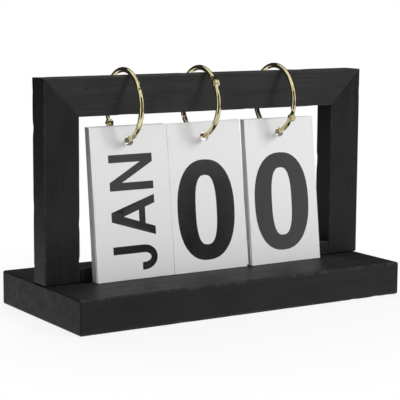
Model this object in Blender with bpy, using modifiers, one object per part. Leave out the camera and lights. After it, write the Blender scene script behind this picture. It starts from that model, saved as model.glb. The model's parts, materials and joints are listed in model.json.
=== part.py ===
"""Wooden flip calendar: a mitred frame on a base board, with three packs of cards on book rings.

Lengths are in metres, +Z is up, the front faces -Y, and the origin lies under the middle of the base.
An angle along a ring is counted from its lowest point towards the front.
"""

import math
from typing import NamedTuple

import bmesh
import bpy
from mathutils import Matrix, Vector

MM = 0.001

# Cards
CARD_WIDTH = 50.8 * MM
CARD_HEIGHT = 88.0 * MM
CARD_THICKNESS = 0.3 * MM
CARD_AIR = 0.14 * MM
CARD_SPACING = 3.2 * MM
HOLE_DROP = 8.6 * MM
HOLE_PLAY = 2.9 * MM
HOLE_STEPS = 24

# Base and frame
BASE_DEPTH = 99.0 * MM
BASE_THICKNESS = 20.0 * MM
BASE_EASE = 0.7 * MM
MEMBER_WIDTH = 22.0 * MM
FRAME_THICKNESS = 14.5 * MM
FRAME_EASE = 0.5 * MM
BOTTOM_RAIL_HEIGHT = 8.5 * MM
SIDE_ROOM = 8.6 * MM

# Book rings
WIRE_DIAMETER = 3.0 * MM
WIRE_STEPS = 26
WIRE_RESOLUTION = 4
RING_HEADROOM = 5.2 * MM
PACK_SHIFT = -2.7 * MM
EYE_GROWTH = 0.9 * MM
EYE_SHIFT = 0.2 * MM
EYE_STEPS = 24
LEAF_GROWTH = 0.05 * MM
LAP_LENGTH = 2.2 * MM
RIVET_DIAMETER = 1.2 * MM
RIVET_HEAD_GROWTH = 0.7 * MM
RIVET_HEAD_HEIGHT = 0.45 * MM
BEAD_DIAMETER = 1.1 * MM
BEAD_HEIGHT = 0.2 * MM

# How the packs stand
FOOT_GAP = 0.2 * MM
SEAT_DROP = 0.75 * MM
FRONT_ANGLE = math.radians(15.5)
FRONT_LEAN = math.radians(7.0)
FAN_STEP = math.radians(0.12)

# Fasteners
SCREW_DIAMETER = 3.4 * MM
SCREW_HEAD_DIAMETER = 6.8 * MM
SCREW_TIP = 4.0 * MM
SCREW_RECESS = 0.6 * MM
STILE_SCREW_BITE = 20.0 * MM
STILE_SCREW_SPACING = 11.0 * MM
RAIL_SCREW_BITE = 6.0 * MM
RAIL_SCREW_SPACING = 110.0 * MM
SCREW_STEPS = 16
NAIL_LEG = 8.0 * MM
NAIL_THICKNESS = 0.9 * MM
NAIL_DEPTH = 9.0 * MM
NAIL_SET_IN = 8.0 * MM
NAIL_SUNK = 0.3 * MM

# Clearances between neighbours
SEAT_GAP = 0.3 * MM
CUT_PAST = 2.0 * MM

# Worked out from the sizes above
CARD_REACH = CARD_HEIGHT - HOLE_DROP
CARD_PITCH = CARD_THICKNESS + CARD_AIR
RING_PITCH = CARD_WIDTH + CARD_SPACING
WINDOW_WIDTH = 3 * CARD_WIDTH + 2 * CARD_SPACING + 2 * SIDE_ROOM
FRAME_WIDTH = WINDOW_WIDTH + 2 * MEMBER_WIDTH
FRAME_FOOT = BASE_THICKNESS + SEAT_GAP
MITRE_SHIFT = SEAT_GAP / math.sqrt(2)
HALF_FRAME = FRAME_THICKNESS / 2

WIRE_RADIUS = WIRE_DIAMETER / 2
RING_DEPTH = MEMBER_WIDTH + HOLE_DROP + RING_HEADROOM - SEAT_GAP
BORE_RADIUS = (RING_DEPTH**2 + HALF_FRAME**2) / (2 * RING_DEPTH) + SEAT_GAP
RING_HANG = math.sqrt((BORE_RADIUS - SEAT_GAP) ** 2 - HALF_FRAME**2)
WIRE_CENTRE = BORE_RADIUS + WIRE_RADIUS
EYE_RADIUS = (WIRE_DIAMETER + EYE_GROWTH) / 2
EYE_CENTRE = BORE_RADIUS + EYE_SHIFT + EYE_RADIUS
HALF_LAP = SEAT_GAP / 2
LEAF_FACE = WIRE_RADIUS + LEAF_GROWTH
RIVET_RADIUS = RIVET_DIAMETER / 2
HOLE_RADIUS = EYE_RADIUS + HOLE_PLAY / 2

SEAT_RADIUS = WIRE_CENTRE + SEAT_DROP
FOOT_HEIGHT = BASE_THICKNESS + FOOT_GAP
RING_HEIGHT = FOOT_HEIGHT + CARD_REACH * math.cos(FRONT_LEAN) + SEAT_RADIUS * math.cos(FRONT_ANGLE)
FRAME_TOP = RING_HEIGHT + RING_HANG


class Pack(NamedTuple):
    """One ring and its cards.

    The ring is slid along the rail from its even place. The front cards each hang a little askew, by the
    rolls given here. A turned ring hangs with its hinge leaf to the other side.
    """

    name: str
    cards: list
    slide: float
    front_angle: float
    front_lean: float
    rolls: list
    hinge_angle: float
    turned_ring: bool


MONTHS = [f"month_card_{number:02d}" for number in range(1, 13)]
TENS = [f"tens_card_{number}" for number in range(4)]
UNITS = [f"units_card_{number}" for number in range(10)]
PACKS = [
    Pack(
        "month",
        MONTHS,
        1.3 * MM,
        FRONT_ANGLE,
        FRONT_LEAN,
        [math.radians(roll) for roll in (0.2, -0.25, 0.0, -0.15)],
        math.radians(304.0),
        False,
    ),
    Pack(
        "tens",
        TENS,
        -1.2 * MM,
        math.radians(13.0),
        FRONT_LEAN,
        [math.radians(roll) for roll in (0.0, 1.0, 0.0, 0.3)],
        math.radians(125.0),
        True,
    ),
    Pack(
        "units",
        UNITS,
        -1.4 * MM,
        math.radians(15.0),
        FRONT_LEAN,
        [math.radians(roll) for roll in (0.2, -0.3, 0.2)],
        math.radians(60.0),
        True,
    ),
]


def new_collection(name):
    collection = bpy.data.collections.new(name)
    bpy.context.scene.collection.children.link(collection)
    return collection


def new_material(name, colour, roughness, metallic):
    material = bpy.data.materials.new(name)
    material.use_nodes = True
    shader = material.node_tree.nodes["Principled BSDF"]
    shader.inputs["Base Color"].default_value = (*colour, 1.0)
    shader.inputs["Roughness"].default_value = roughness
    shader.inputs["Metallic"].default_value = metallic
    return material


def place(name, mesh, collection, material=None):
    """A new object of this mesh in a collection."""
    obj = bpy.data.objects.new(name, mesh)
    collection.objects.link(obj)
    if material and not mesh.materials:
        mesh.materials.append(material)
    return obj


def as_helper(obj):
    """Marks a cutter or a pattern, which is no piece of the object."""
    obj.hide_render = True
    obj.display_type = "WIRE"
    return obj


def finished_mesh(obj, name):
    """The mesh of an object with its curve or its modifiers worked out, and its caps welded."""
    graph = bpy.context.evaluated_depsgraph_get()
    mesh = bpy.data.meshes.new_from_object(obj.evaluated_get(graph))
    mesh.name = name
    shape = bmesh.new()
    shape.from_mesh(mesh)
    bmesh.ops.remove_doubles(shape, verts=shape.verts, dist=0.001 * MM)
    shape.to_mesh(mesh)
    shape.free()
    return mesh


def mesh_of_curve(curve):
    """A closed mesh of a curve, which is then removed."""
    obj = place(curve.name, curve, bpy.context.scene.collection)
    mesh = finished_mesh(obj, curve.name)
    bpy.data.objects.remove(obj)
    bpy.data.curves.remove(curve)
    return mesh


def upright_plate(name, outlines, thickness):
    """A flat outline in X and Z, centred on Y = 0. Outlines after the first are holes."""
    curve = bpy.data.curves.new(name, "CURVE")
    curve.dimensions = "2D"
    curve.fill_mode = "BOTH"
    curve.extrude = thickness / 2
    for outline in outlines:
        spline = curve.splines.new("POLY")
        spline.points.add(len(outline) - 1)
        spline.use_cyclic_u = True
        for point, (across, up) in zip(spline.points, outline):
            point.co = (across, up, 0.0, 1.0)
    mesh = mesh_of_curve(curve)
    mesh.transform(Matrix.Rotation(math.radians(90.0), 4, "X"))
    return mesh


def block(name, size):
    """A box centred on its origin."""
    mesh = bpy.data.meshes.new(name)
    shape = bmesh.new()
    bmesh.ops.create_cube(shape, size=1.0)
    bmesh.ops.scale(shape, vec=Vector(size), verts=shape.verts)
    shape.to_mesh(mesh)
    shape.free()
    return mesh


def cross_cylinder(name, radius, low, high, steps):
    """A cylinder along X between two planes."""
    mesh = bpy.data.meshes.new(name)
    shape = bmesh.new()
    bmesh.ops.create_cone(
        shape,
        cap_ends=True,
        segments=steps,
        radius1=radius,
        radius2=radius,
        depth=high - low,
        matrix=Matrix.Translation(((low + high) / 2, 0.0, 0.0)) @ Matrix.Rotation(math.radians(90.0), 4, "Y"),
    )
    shape.to_mesh(mesh)
    shape.free()
    return mesh


def turned(name, profile, collection, steps, material=None):
    """A shape turned about Z from (radius, height) points that run from its top to its bottom."""
    mesh = bpy.data.meshes.new(name)
    points = [(radius, 0.0, height) for radius, height in profile]
    mesh.from_pydata(points, [(i, i + 1) for i in range(len(points) - 1)], [])
    obj = place(name, mesh, collection, material)
    screw = obj.modifiers.new("turn", "SCREW")
    screw.steps = steps
    screw.render_steps = steps
    screw.use_merge_vertices = True
    screw.merge_threshold = 0.01 * MM
    screw.use_smooth_shade = False
    return obj


def combine(obj, other, operation):
    boolean = obj.modifiers.new(f"{operation.lower()}_{other.name}", "BOOLEAN")
    boolean.operation = operation
    boolean.solver = "EXACT"
    boolean.object = other


def shade_round(mesh):
    mesh.shade_smooth()
    mesh.set_sharp_from_angle(angle=math.radians(35.0))


def ease_long_edges(mesh, axis):
    """Rounds the edges of a bar that run along it, and leaves its ends and mitres square."""
    shape = bmesh.new()
    shape.from_mesh(mesh)
    bmesh.ops.dissolve_limit(shape, angle_limit=math.radians(1.0), verts=shape.verts, edges=shape.edges)
    along = [
        edge
        for edge in shape.edges
        if abs((edge.verts[1].co - edge.verts[0].co).normalized()[axis]) > 0.999
    ]
    bmesh.ops.bevel(shape, geom=along, offset=FRAME_EASE, segments=2, profile=0.5, affect="EDGES")
    shape.to_mesh(mesh)
    shape.free()


def make_base(parts, wood):
    base = place("base_board", block("base_board", (FRAME_WIDTH, BASE_DEPTH, BASE_THICKNESS)), parts, wood)
    base.location.z = BASE_THICKNESS / 2
    ease = base.modifiers.new("eased_edges", "BEVEL")
    ease.width = BASE_EASE
    ease.segments = 2
    return base


def make_frame(parts, wood):
    """The two stiles and two rails, by name. The stiles and the top rail are cut at 45 degrees."""
    half = FRAME_WIDTH / 2
    inner = WINDOW_WIDTH / 2
    under = FRAME_TOP - MEMBER_WIDTH
    stile = [
        (-half, FRAME_FOOT),
        (-inner, FRAME_FOOT),
        (-inner, under - MITRE_SHIFT),
        (-half, FRAME_TOP - MITRE_SHIFT),
    ]
    top = [
        (-inner + MITRE_SHIFT, under),
        (inner - MITRE_SHIFT, under),
        (half - MITRE_SHIFT, FRAME_TOP),
        (-half + MITRE_SHIFT, FRAME_TOP),
    ]
    rail_end = inner - SEAT_GAP
    rail_top = BASE_THICKNESS + BOTTOM_RAIL_HEIGHT
    low = [
        (-rail_end, FRAME_FOOT),
        (rail_end, FRAME_FOOT),
        (rail_end, rail_top),
        (-rail_end, rail_top),
    ]
    bars = {
        "frame_left_stile": (stile, 2),
        "frame_right_stile": ([(-across, up) for across, up in stile], 2),
        "frame_top_rail": (top, 0),
        "frame_bottom_rail": (low, 0),
    }
    frame = {}
    for name, (outline, axis) in bars.items():
        mesh = upright_plate(name, [outline], FRAME_THICKNESS)
        ease_long_edges(mesh, axis)
        frame[name] = place(name, mesh, parts, wood)
    return frame


def screw_profile(bite, grow):
    """A countersunk screw from its tip down to its head, or its hole with some room to grow."""
    tip = BASE_THICKNESS + bite + grow
    shank = SCREW_DIAMETER / 2 + grow
    head = SCREW_HEAD_DIAMETER / 2 + grow
    seat = SCREW_RECESS + head - shank
    profile = [
        (0.0, tip),
        (shank / 3, tip),
        (shank, tip - SCREW_TIP),
        (shank, seat),
        (head, SCREW_RECESS),
    ]
    if grow:
        return [*profile, (head, -CUT_PAST), (0.0, -CUT_PAST)]
    return [*profile, (0.0, SCREW_RECESS)]


def make_screws(parts, helpers, steel, base, frame):
    """Screws up through the base into the frame, each with its hole."""
    stile = (FRAME_WIDTH - MEMBER_WIDTH) / 2
    apart = STILE_SCREW_SPACING / 2
    places = [
        ("stile_screw_left_outer", -stile - apart, "frame_left_stile", STILE_SCREW_BITE),
        ("stile_screw_left_inner", -stile + apart, "frame_left_stile", STILE_SCREW_BITE),
        ("stile_screw_right_inner", stile - apart, "frame_right_stile", STILE_SCREW_BITE),
        ("stile_screw_right_outer", stile + apart, "frame_right_stile", STILE_SCREW_BITE),
        ("rail_screw_left", -RAIL_SCREW_SPACING / 2, "frame_bottom_rail", RAIL_SCREW_BITE),
        ("rail_screw_right", RAIL_SCREW_SPACING / 2, "frame_bottom_rail", RAIL_SCREW_BITE),
    ]
    for name, across, member, bite in places:
        screw = turned(name, screw_profile(bite, 0.0), parts, SCREW_STEPS, steel)
        hole = turned(f"{name}_hole", screw_profile(bite, SEAT_GAP), helpers, SCREW_STEPS)
        screw.location.x = across
        as_helper(hole).location.x = across
        combine(base, hole, "DIFFERENCE")
        combine(frame[member], hole, "DIFFERENCE")


def nail_outline(side, grow):
    """An L whose corner lies on the mitre, with one leg in the rail and one in the stile."""
    near = NAIL_SET_IN - grow
    far = NAIL_SET_IN + NAIL_LEG + grow
    back = NAIL_SET_IN + NAIL_THICKNESS + grow
    steps_in = [(near, near), (far, near), (far, back), (back, back), (back, far), (near, far)]
    return [(side * (FRAME_WIDTH / 2 - across), FRAME_TOP - down) for across, down in steps_in]


def make_nails(parts, helpers, steel, frame):
    """V-nails pressed into the back of the two mitres."""
    back_end = HALF_FRAME - NAIL_SUNK
    front_end = back_end - NAIL_DEPTH
    for name, side in (("mitre_nail_left", -1), ("mitre_nail_right", 1)):
        nail = place(name, upright_plate(name, [nail_outline(side, 0.0)], NAIL_DEPTH), parts, steel)
        nail.location.y = (front_end + back_end) / 2
        slot_front = front_end - SEAT_GAP
        slot_back = HALF_FRAME + CUT_PAST
        slot_mesh = upright_plate(f"{name}_slot", [nail_outline(side, SEAT_GAP)], slot_back - slot_front)
        slot = as_helper(place(f"{name}_slot", slot_mesh, helpers))
        slot.location.y = (slot_front + slot_back) / 2
        stile = "frame_left_stile" if side < 0 else "frame_right_stile"
        combine(frame["frame_top_rail"], slot, "DIFFERENCE")
        combine(frame[stile], slot, "DIFFERENCE")


def wire_arc(name, start, stop):
    """Round wire bent along the ring. An angle here turns about X from the hinge."""
    curve = bpy.data.curves.new(name, "CURVE")
    curve.dimensions = "3D"
    curve.bevel_depth = WIRE_RADIUS
    curve.bevel_resolution = WIRE_RESOLUTION
    curve.use_fill_caps = True
    spline = curve.splines.new("POLY")
    spline.points.add(WIRE_STEPS)
    for index, point in enumerate(spline.points):
        angle = start + (stop - start) * index / WIRE_STEPS
        point.co = (0.0, WIRE_CENTRE * math.cos(angle), WIRE_CENTRE * math.sin(angle), 1.0)
    return mesh_of_curve(curve)


def ring_half(name, helpers, side):
    """Half a book ring, from its hinge eye round to its clasp tongue.

    The hinge lies at +Y and the clasp at -Y. The half bends through +Z for side 1 and through -Z for
    side -1, and its two flat leaves lie at -X for side 1 and at +X for side -1.
    """
    eye_short = EYE_RADIUS / 2 / WIRE_CENTRE
    tongue = LAP_LENGTH / WIRE_CENTRE
    half = as_helper(place(name, wire_arc(name, side * eye_short, side * (math.pi + tongue)), helpers))

    def leaf_cylinder(label, radius, low, high):
        """A cylinder along X, mirrored to the side of this half's leaves."""
        ends = sorted((-side * low, -side * high))
        mesh = cross_cylinder(f"{name}_{label}", radius, *ends, EYE_STEPS)
        return as_helper(place(f"{name}_{label}", mesh, helpers))

    room = leaf_cylinder("eye_room", EYE_RADIUS + SEAT_GAP, -LEAF_FACE - CUT_PAST, HALF_LAP)
    room.location.y = EYE_CENTRE
    combine(half, room, "DIFFERENCE")

    lap_size = Vector((2 * WIRE_DIAMETER, 2 * WIRE_DIAMETER, 2 * (LAP_LENGTH + SEAT_GAP)))
    lap = as_helper(place(f"{name}_lap", block(f"{name}_lap", lap_size), helpers))
    lap.location = (side * (lap_size.x / 2 - HALF_LAP), -WIRE_CENTRE, 0.0)
    combine(half, lap, "DIFFERENCE")

    eye = leaf_cylinder("eye", EYE_RADIUS, HALF_LAP, LEAF_FACE)
    eye.location.y = EYE_CENTRE
    combine(half, eye, "UNION")

    pin_hole = leaf_cylinder("pin_hole", RIVET_RADIUS + SEAT_GAP, -LEAF_FACE, LEAF_FACE + CUT_PAST)
    pin_hole.location.y = EYE_CENTRE
    combine(half, pin_hole, "DIFFERENCE")

    if side > 0:
        bead = leaf_cylinder("bead", BEAD_DIAMETER / 2, HALF_LAP - BEAD_HEIGHT, HALF_LAP + BEAD_HEIGHT)
        operation = "UNION"
    else:
        bead = leaf_cylinder("bead_hole", BEAD_DIAMETER / 2 + HALF_LAP, -LEAF_FACE, LEAF_FACE + CUT_PAST)
        operation = "DIFFERENCE"
    bead.location.y = -WIRE_CENTRE
    combine(half, bead, operation)

    mesh = finished_mesh(half, f"{name}_finished")
    shade_round(mesh)
    return mesh


def rivet_mesh(helpers):
    """A rivet along X with a head on each side of the two eyes."""
    head = RIVET_RADIUS + RIVET_HEAD_GROWTH
    inner = LEAF_FACE + SEAT_GAP / 2
    outer = inner + RIVET_HEAD_HEIGHT
    upper_half = [(0.0, outer), (head / 2, outer), (head, inner + RIVET_HEAD_HEIGHT / 3), (head, inner)]
    upper_half.append((RIVET_RADIUS, inner))
    lower_half = [(radius, -height) for radius, height in reversed(upper_half)]
    pattern = as_helper(turned("rivet_pattern", upper_half + lower_half, helpers, SCREW_STEPS))
    mesh = finished_mesh(pattern, "ring_rivet")
    mesh.transform(Matrix.Rotation(math.radians(90.0), 4, "Y"))
    shade_round(mesh)
    return mesh


def make_ring(pack, axis, meshes, parts, brass):
    """A carrier half that the cards hang on, a gate half that opens, and the rivet between them."""
    carrier, gate, rivet = meshes
    turn = Matrix.Rotation(math.radians(270.0) - pack.hinge_angle, 4, "X")
    if pack.turned_ring:
        turn = turn @ Matrix.Rotation(math.pi, 4, "Y")
    hinge = turn @ Matrix.Translation((0.0, EYE_CENTRE, 0.0))
    for label, mesh, at in (("carrier", carrier, turn), ("gate", gate, hinge), ("rivet", rivet, hinge)):
        piece = place(f"{pack.name}_ring_{label}", mesh, parts, brass)
        piece.parent = axis
        piece.matrix_basis = at


def card_mesh():
    """A card with its punched hole at the origin."""
    side = CARD_WIDTH / 2
    edge = [(-side, -CARD_REACH), (side, -CARD_REACH), (side, HOLE_DROP), (-side, HOLE_DROP)]
    turns = [2 * math.pi * step / HOLE_STEPS for step in range(HOLE_STEPS)]
    hole = [(HOLE_RADIUS * math.cos(turn), HOLE_RADIUS * math.sin(turn)) for turn in turns]
    return upright_plate("card", [edge, hole], CARD_THICKNESS)


def make_cards(pack, axis, mesh, parts, paper):
    """The cards of one ring. Each stands just clear of the base and leans less than the one before it."""
    for index, name in enumerate(pack.cards):
        lean = pack.front_lean - index * FAN_STEP
        angle = pack.front_angle - index * CARD_PITCH / SEAT_RADIUS
        roll = pack.rolls[index] if index < len(pack.rolls) else 0.0
        below = CARD_REACH * math.cos(roll) + CARD_WIDTH / 2 * math.sin(abs(roll))
        drop = RING_HEIGHT - FOOT_HEIGHT - below * math.cos(lean)
        card = place(name, mesh, parts, paper)
        card.parent = axis
        card.location = (0.0, -drop * math.tan(angle), -drop)
        card.rotation_mode = "ZYX"
        card.rotation_euler = (-lean, -roll, 0.0)


def main():
    for obj in list(bpy.data.objects):
        bpy.data.objects.remove(obj)
    parts = new_collection("wooden_flip_calendar")
    helpers = new_collection("cutters_and_patterns")
    helpers.hide_render = True
    wood = new_material("black_stained_wood", (0.022, 0.020, 0.020), 0.5, 0.0)
    brass = new_material("polished_brass", (0.72, 0.56, 0.25), 0.2, 1.0)
    steel = new_material("zinc_plated_steel", (0.6, 0.6, 0.6), 0.35, 1.0)
    paper = new_material("white_card", (0.86, 0.86, 0.85), 0.45, 0.0)

    base = make_base(parts, wood)
    frame = make_frame(parts, wood)
    make_screws(parts, helpers, steel, base, frame)
    make_nails(parts, helpers, steel, frame)

    carrier = ring_half("carrier_pattern", helpers, -1)
    gate = ring_half("gate_pattern", helpers, 1)
    gate.transform(Matrix.Translation((0.0, -EYE_CENTRE, 0.0)))
    rivet = rivet_mesh(helpers)
    card = card_mesh()
    for column, pack in enumerate(PACKS):
        axis = place(f"{pack.name}_ring_axis", None, parts)
        axis.location = (PACK_SHIFT + (column - 1) * RING_PITCH + pack.slide, 0.0, RING_HEIGHT)
        make_ring(pack, axis, (carrier, gate, rivet), parts, brass)
        make_cards(pack, axis, card, parts, paper)


main()
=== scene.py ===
"""Looks of a wooden flip calendar: black boards, printed cards in three packs, and brass book rings.

Lengths are in metres, +Z is up and the front faces -Y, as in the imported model.
"""

import json
import logging
import math
from collections.abc import Sequence
from dataclasses import dataclass
from enum import Enum

import bmesh
import bpy
import numpy as np
from mathutils import Matrix, Vector
from mathutils.geometry import delaunay_2d_cdt

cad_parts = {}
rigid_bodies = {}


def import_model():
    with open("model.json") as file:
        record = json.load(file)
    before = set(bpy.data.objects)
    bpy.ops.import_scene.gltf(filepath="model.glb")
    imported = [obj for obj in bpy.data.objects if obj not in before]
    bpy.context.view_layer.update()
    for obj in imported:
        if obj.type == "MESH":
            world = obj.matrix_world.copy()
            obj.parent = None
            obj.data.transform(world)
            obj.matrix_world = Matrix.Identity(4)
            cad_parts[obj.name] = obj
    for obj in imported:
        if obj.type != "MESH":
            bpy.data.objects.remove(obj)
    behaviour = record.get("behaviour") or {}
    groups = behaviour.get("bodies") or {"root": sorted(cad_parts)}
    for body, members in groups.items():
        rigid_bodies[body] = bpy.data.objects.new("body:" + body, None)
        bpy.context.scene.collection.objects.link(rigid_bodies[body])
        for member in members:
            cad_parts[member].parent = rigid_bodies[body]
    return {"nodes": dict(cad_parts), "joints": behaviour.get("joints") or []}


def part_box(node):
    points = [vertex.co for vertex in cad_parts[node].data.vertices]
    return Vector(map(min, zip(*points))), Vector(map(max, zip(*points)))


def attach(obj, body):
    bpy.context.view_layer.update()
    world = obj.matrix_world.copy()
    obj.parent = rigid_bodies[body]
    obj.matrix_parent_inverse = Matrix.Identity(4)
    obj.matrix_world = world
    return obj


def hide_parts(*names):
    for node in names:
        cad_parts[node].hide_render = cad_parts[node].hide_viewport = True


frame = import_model()

MM = 0.001
LOG = logging.getLogger("flip_calendar")
Colour = tuple[float, float, float]
Pair = tuple[float, float]
Loop = np.ndarray
UNTURNED = (0.0, 0.0, 0.0)
WHITE = (1.0, 1.0, 1.0)
PAPER_FIBRES = (1700.0, 1700.0, 700.0)
UPRIGHT_AXES = np.roll(np.eye(3), -1, axis=1)


class Run(Enum):
    """The axis that a board's length and its grain follow."""

    SIDEWAYS = 0
    UPWARDS = 2


class End(Enum):
    """How a board's end is cut. A mitre draws back from the board's low or its high side."""

    SQUARE = 0
    MITRE_FROM_LOW = 1
    MITRE_FROM_HIGH = -1


class Half(Enum):
    """The two halves of a book ring, by the way that each bends from the hinge."""

    GATE = 1
    CARRIER = -1


class Reading(Enum):
    """How a print stands on its card."""

    UPRIGHT = 0
    BOTTOM_TO_TOP = 1


class Value:
    """A shader socket whose arithmetic adds Math nodes."""

    def __init__(self, bench: "Bench", socket: bpy.types.NodeSocket) -> None:
        """Keeps the socket and the bench that new nodes go to."""
        self.bench = bench
        self.socket = socket

    def __add__(self, other: "Value | float") -> "Value":
        """Sum."""
        return self.bench.math("ADD", self, other)

    def __sub__(self, other: "Value | float") -> "Value":
        """Difference."""
        return self.bench.math("SUBTRACT", self, other)

    def __rsub__(self, other: float) -> "Value":
        """Difference from a number."""
        return self.bench.math("SUBTRACT", other, self)

    def __mul__(self, other: "Value | float") -> "Value":
        """Product."""
        return self.bench.math("MULTIPLY", self, other)

    def __abs__(self) -> "Value":
        """Size without sign."""
        return self.bench.math("ABSOLUTE", self)

    __radd__ = __add__
    __rmul__ = __mul__

    def between(self, low: float, high: float) -> "Value":
        """Rises smoothly from 0 at low to 1 at high, or falls where low is the larger.

        Args:
            low: Where the result is 0.
            high: Where it is 1.

        Returns:
            The smooth step.
        """
        settings = {"interpolation_type": "SMOOTHSTEP"}
        sockets = {"Value": self, "From Min": min(low, high), "From Max": max(low, high)}
        step = self.bench.add("ShaderNodeMapRange", settings, sockets, "Result")
        return step if low < high else 1.0 - step


class Bench:
    """A material's or the world's node tree, where shader expressions are put together."""

    def __init__(self, tree: bpy.types.NodeTree) -> None:
        """Empties the tree."""
        self.tree = tree
        tree.nodes.clear()

    def add(self, kind: str, settings: dict, sockets: dict, output: str | int = 0) -> Value:
        """Adds one node.

        Args:
            kind: Blender's name of the node type.
            settings: The node's own settings, set first.
            sockets: A number, a colour or a Value for each input, by name or index.
            output: The output that is returned, by name or index.

        Returns:
            The chosen output.
        """
        node = self.tree.nodes.new(kind)
        for name, setting in settings.items():
            setattr(node, name, setting)
        for name, given in sockets.items():
            if isinstance(given, Value):
                self.tree.links.new(given.socket, node.inputs[name])
            else:
                node.inputs[name].default_value = given
        return Value(self, node.outputs[output] if len(node.outputs) else None)

    def math(self, operation: str, *operands: "Value | float") -> Value:
        """One Math node on these operands."""
        return self.add("ShaderNodeMath", {"operation": operation}, dict(enumerate(operands)))

    def object_point(self, scale: Colour, turn: Colour = UNTURNED) -> Value:
        """The surface point in metres, turned and then scaled for a pattern.

        Args:
            scale: Repeats of the pattern to a metre along each axis.
            turn: Angles about each axis, in radians.

        Returns:
            A vector for a texture node.
        """
        point = self.add("ShaderNodeTexCoord", {}, {}, "Object")
        return self.add("ShaderNodeMapping", {}, {"Vector": point, "Rotation": turn, "Scale": scale})

    def noise(
        self,
        repeats: Colour | float,
        detail: float,
        roughness: float,
        turn: Colour = UNTURNED,
        warp: float = 0.0,
    ) -> Value:
        """Cloudy noise from 0 to 1 at the surface point.

        Args:
            repeats: Repeats to a metre along each axis, or one number for all three.
            detail: How many finer layers are added.
            roughness: How strong each finer layer is.
            turn: Angles of the pattern about each axis, in radians.
            warp: How far the pattern is bent.

        Returns:
            The noise.
        """
        scale = (repeats,) * 3 if isinstance(repeats, float) else repeats
        sockets = {
            "Vector": self.object_point(scale, turn),
            "Scale": 1.0,
            "Detail": detail,
            "Roughness": roughness,
            "Distortion": warp,
        }
        return self.add("ShaderNodeTexNoise", {}, sockets, "Fac")

    def mix(self, share: Value, first: "Value | Colour", second: "Value | Colour") -> Value:
        """A colour between two.

        Args:
            share: How much of the second, from 0 to 1.
            first: The colour at 0.
            second: The colour at 1.

        Returns:
            The mixed colour.
        """
        settings = {"data_type": "RGBA"}
        ends = [shade if isinstance(shade, Value) else (*shade, 1.0) for shade in (first, second)]
        return self.add("ShaderNodeMix", settings, {0: share, 6: ends[0], 7: ends[1]}, 2)

    def mark(self, name: str) -> Value:
        """A value that the mesh carries from 0 to 1."""
        return self.add("ShaderNodeAttribute", {"attribute_name": name}, {}, "Fac")

    def bump(self, height: Value, depth: float, strength: float) -> Value:
        """A normal for a height from 0 to 1 that stands for this depth in metres."""
        sockets = {"Strength": strength, "Distance": depth, "Height": height}
        return self.add("ShaderNodeBump", {}, sockets, "Normal")

    def shown(self) -> Value:
        """Tells what is seen from what only gives light.

        Returns:
            1 on the way to the camera, straight, by a mirror or through glass, and 0 for light on a surface.
        """
        rays = ("Is Camera Ray", "Is Glossy Ray", "Is Transmission Ray")
        seen, mirrored, through = (self.add("ShaderNodeLightPath", {}, {}, ray) for ray in rays)
        return (seen + mirrored + through).between(0.0, 1.0)

    def surface(self, sockets: dict) -> None:
        """Ends a material in one Principled shader with these sockets."""
        shader = self.add("ShaderNodeBsdfPrincipled", {}, sockets, "BSDF")
        self.add("ShaderNodeOutputMaterial", {}, {"Surface": shader})


def new_material(name: str) -> tuple[bpy.types.Material, Bench]:
    """Makes a material with an empty node tree.

    Args:
        name: What the material is called.

    Returns:
        The material and the bench for it.
    """
    material = bpy.data.materials.new(name)
    material.use_nodes = True
    return material, Bench(material.node_tree)


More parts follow.
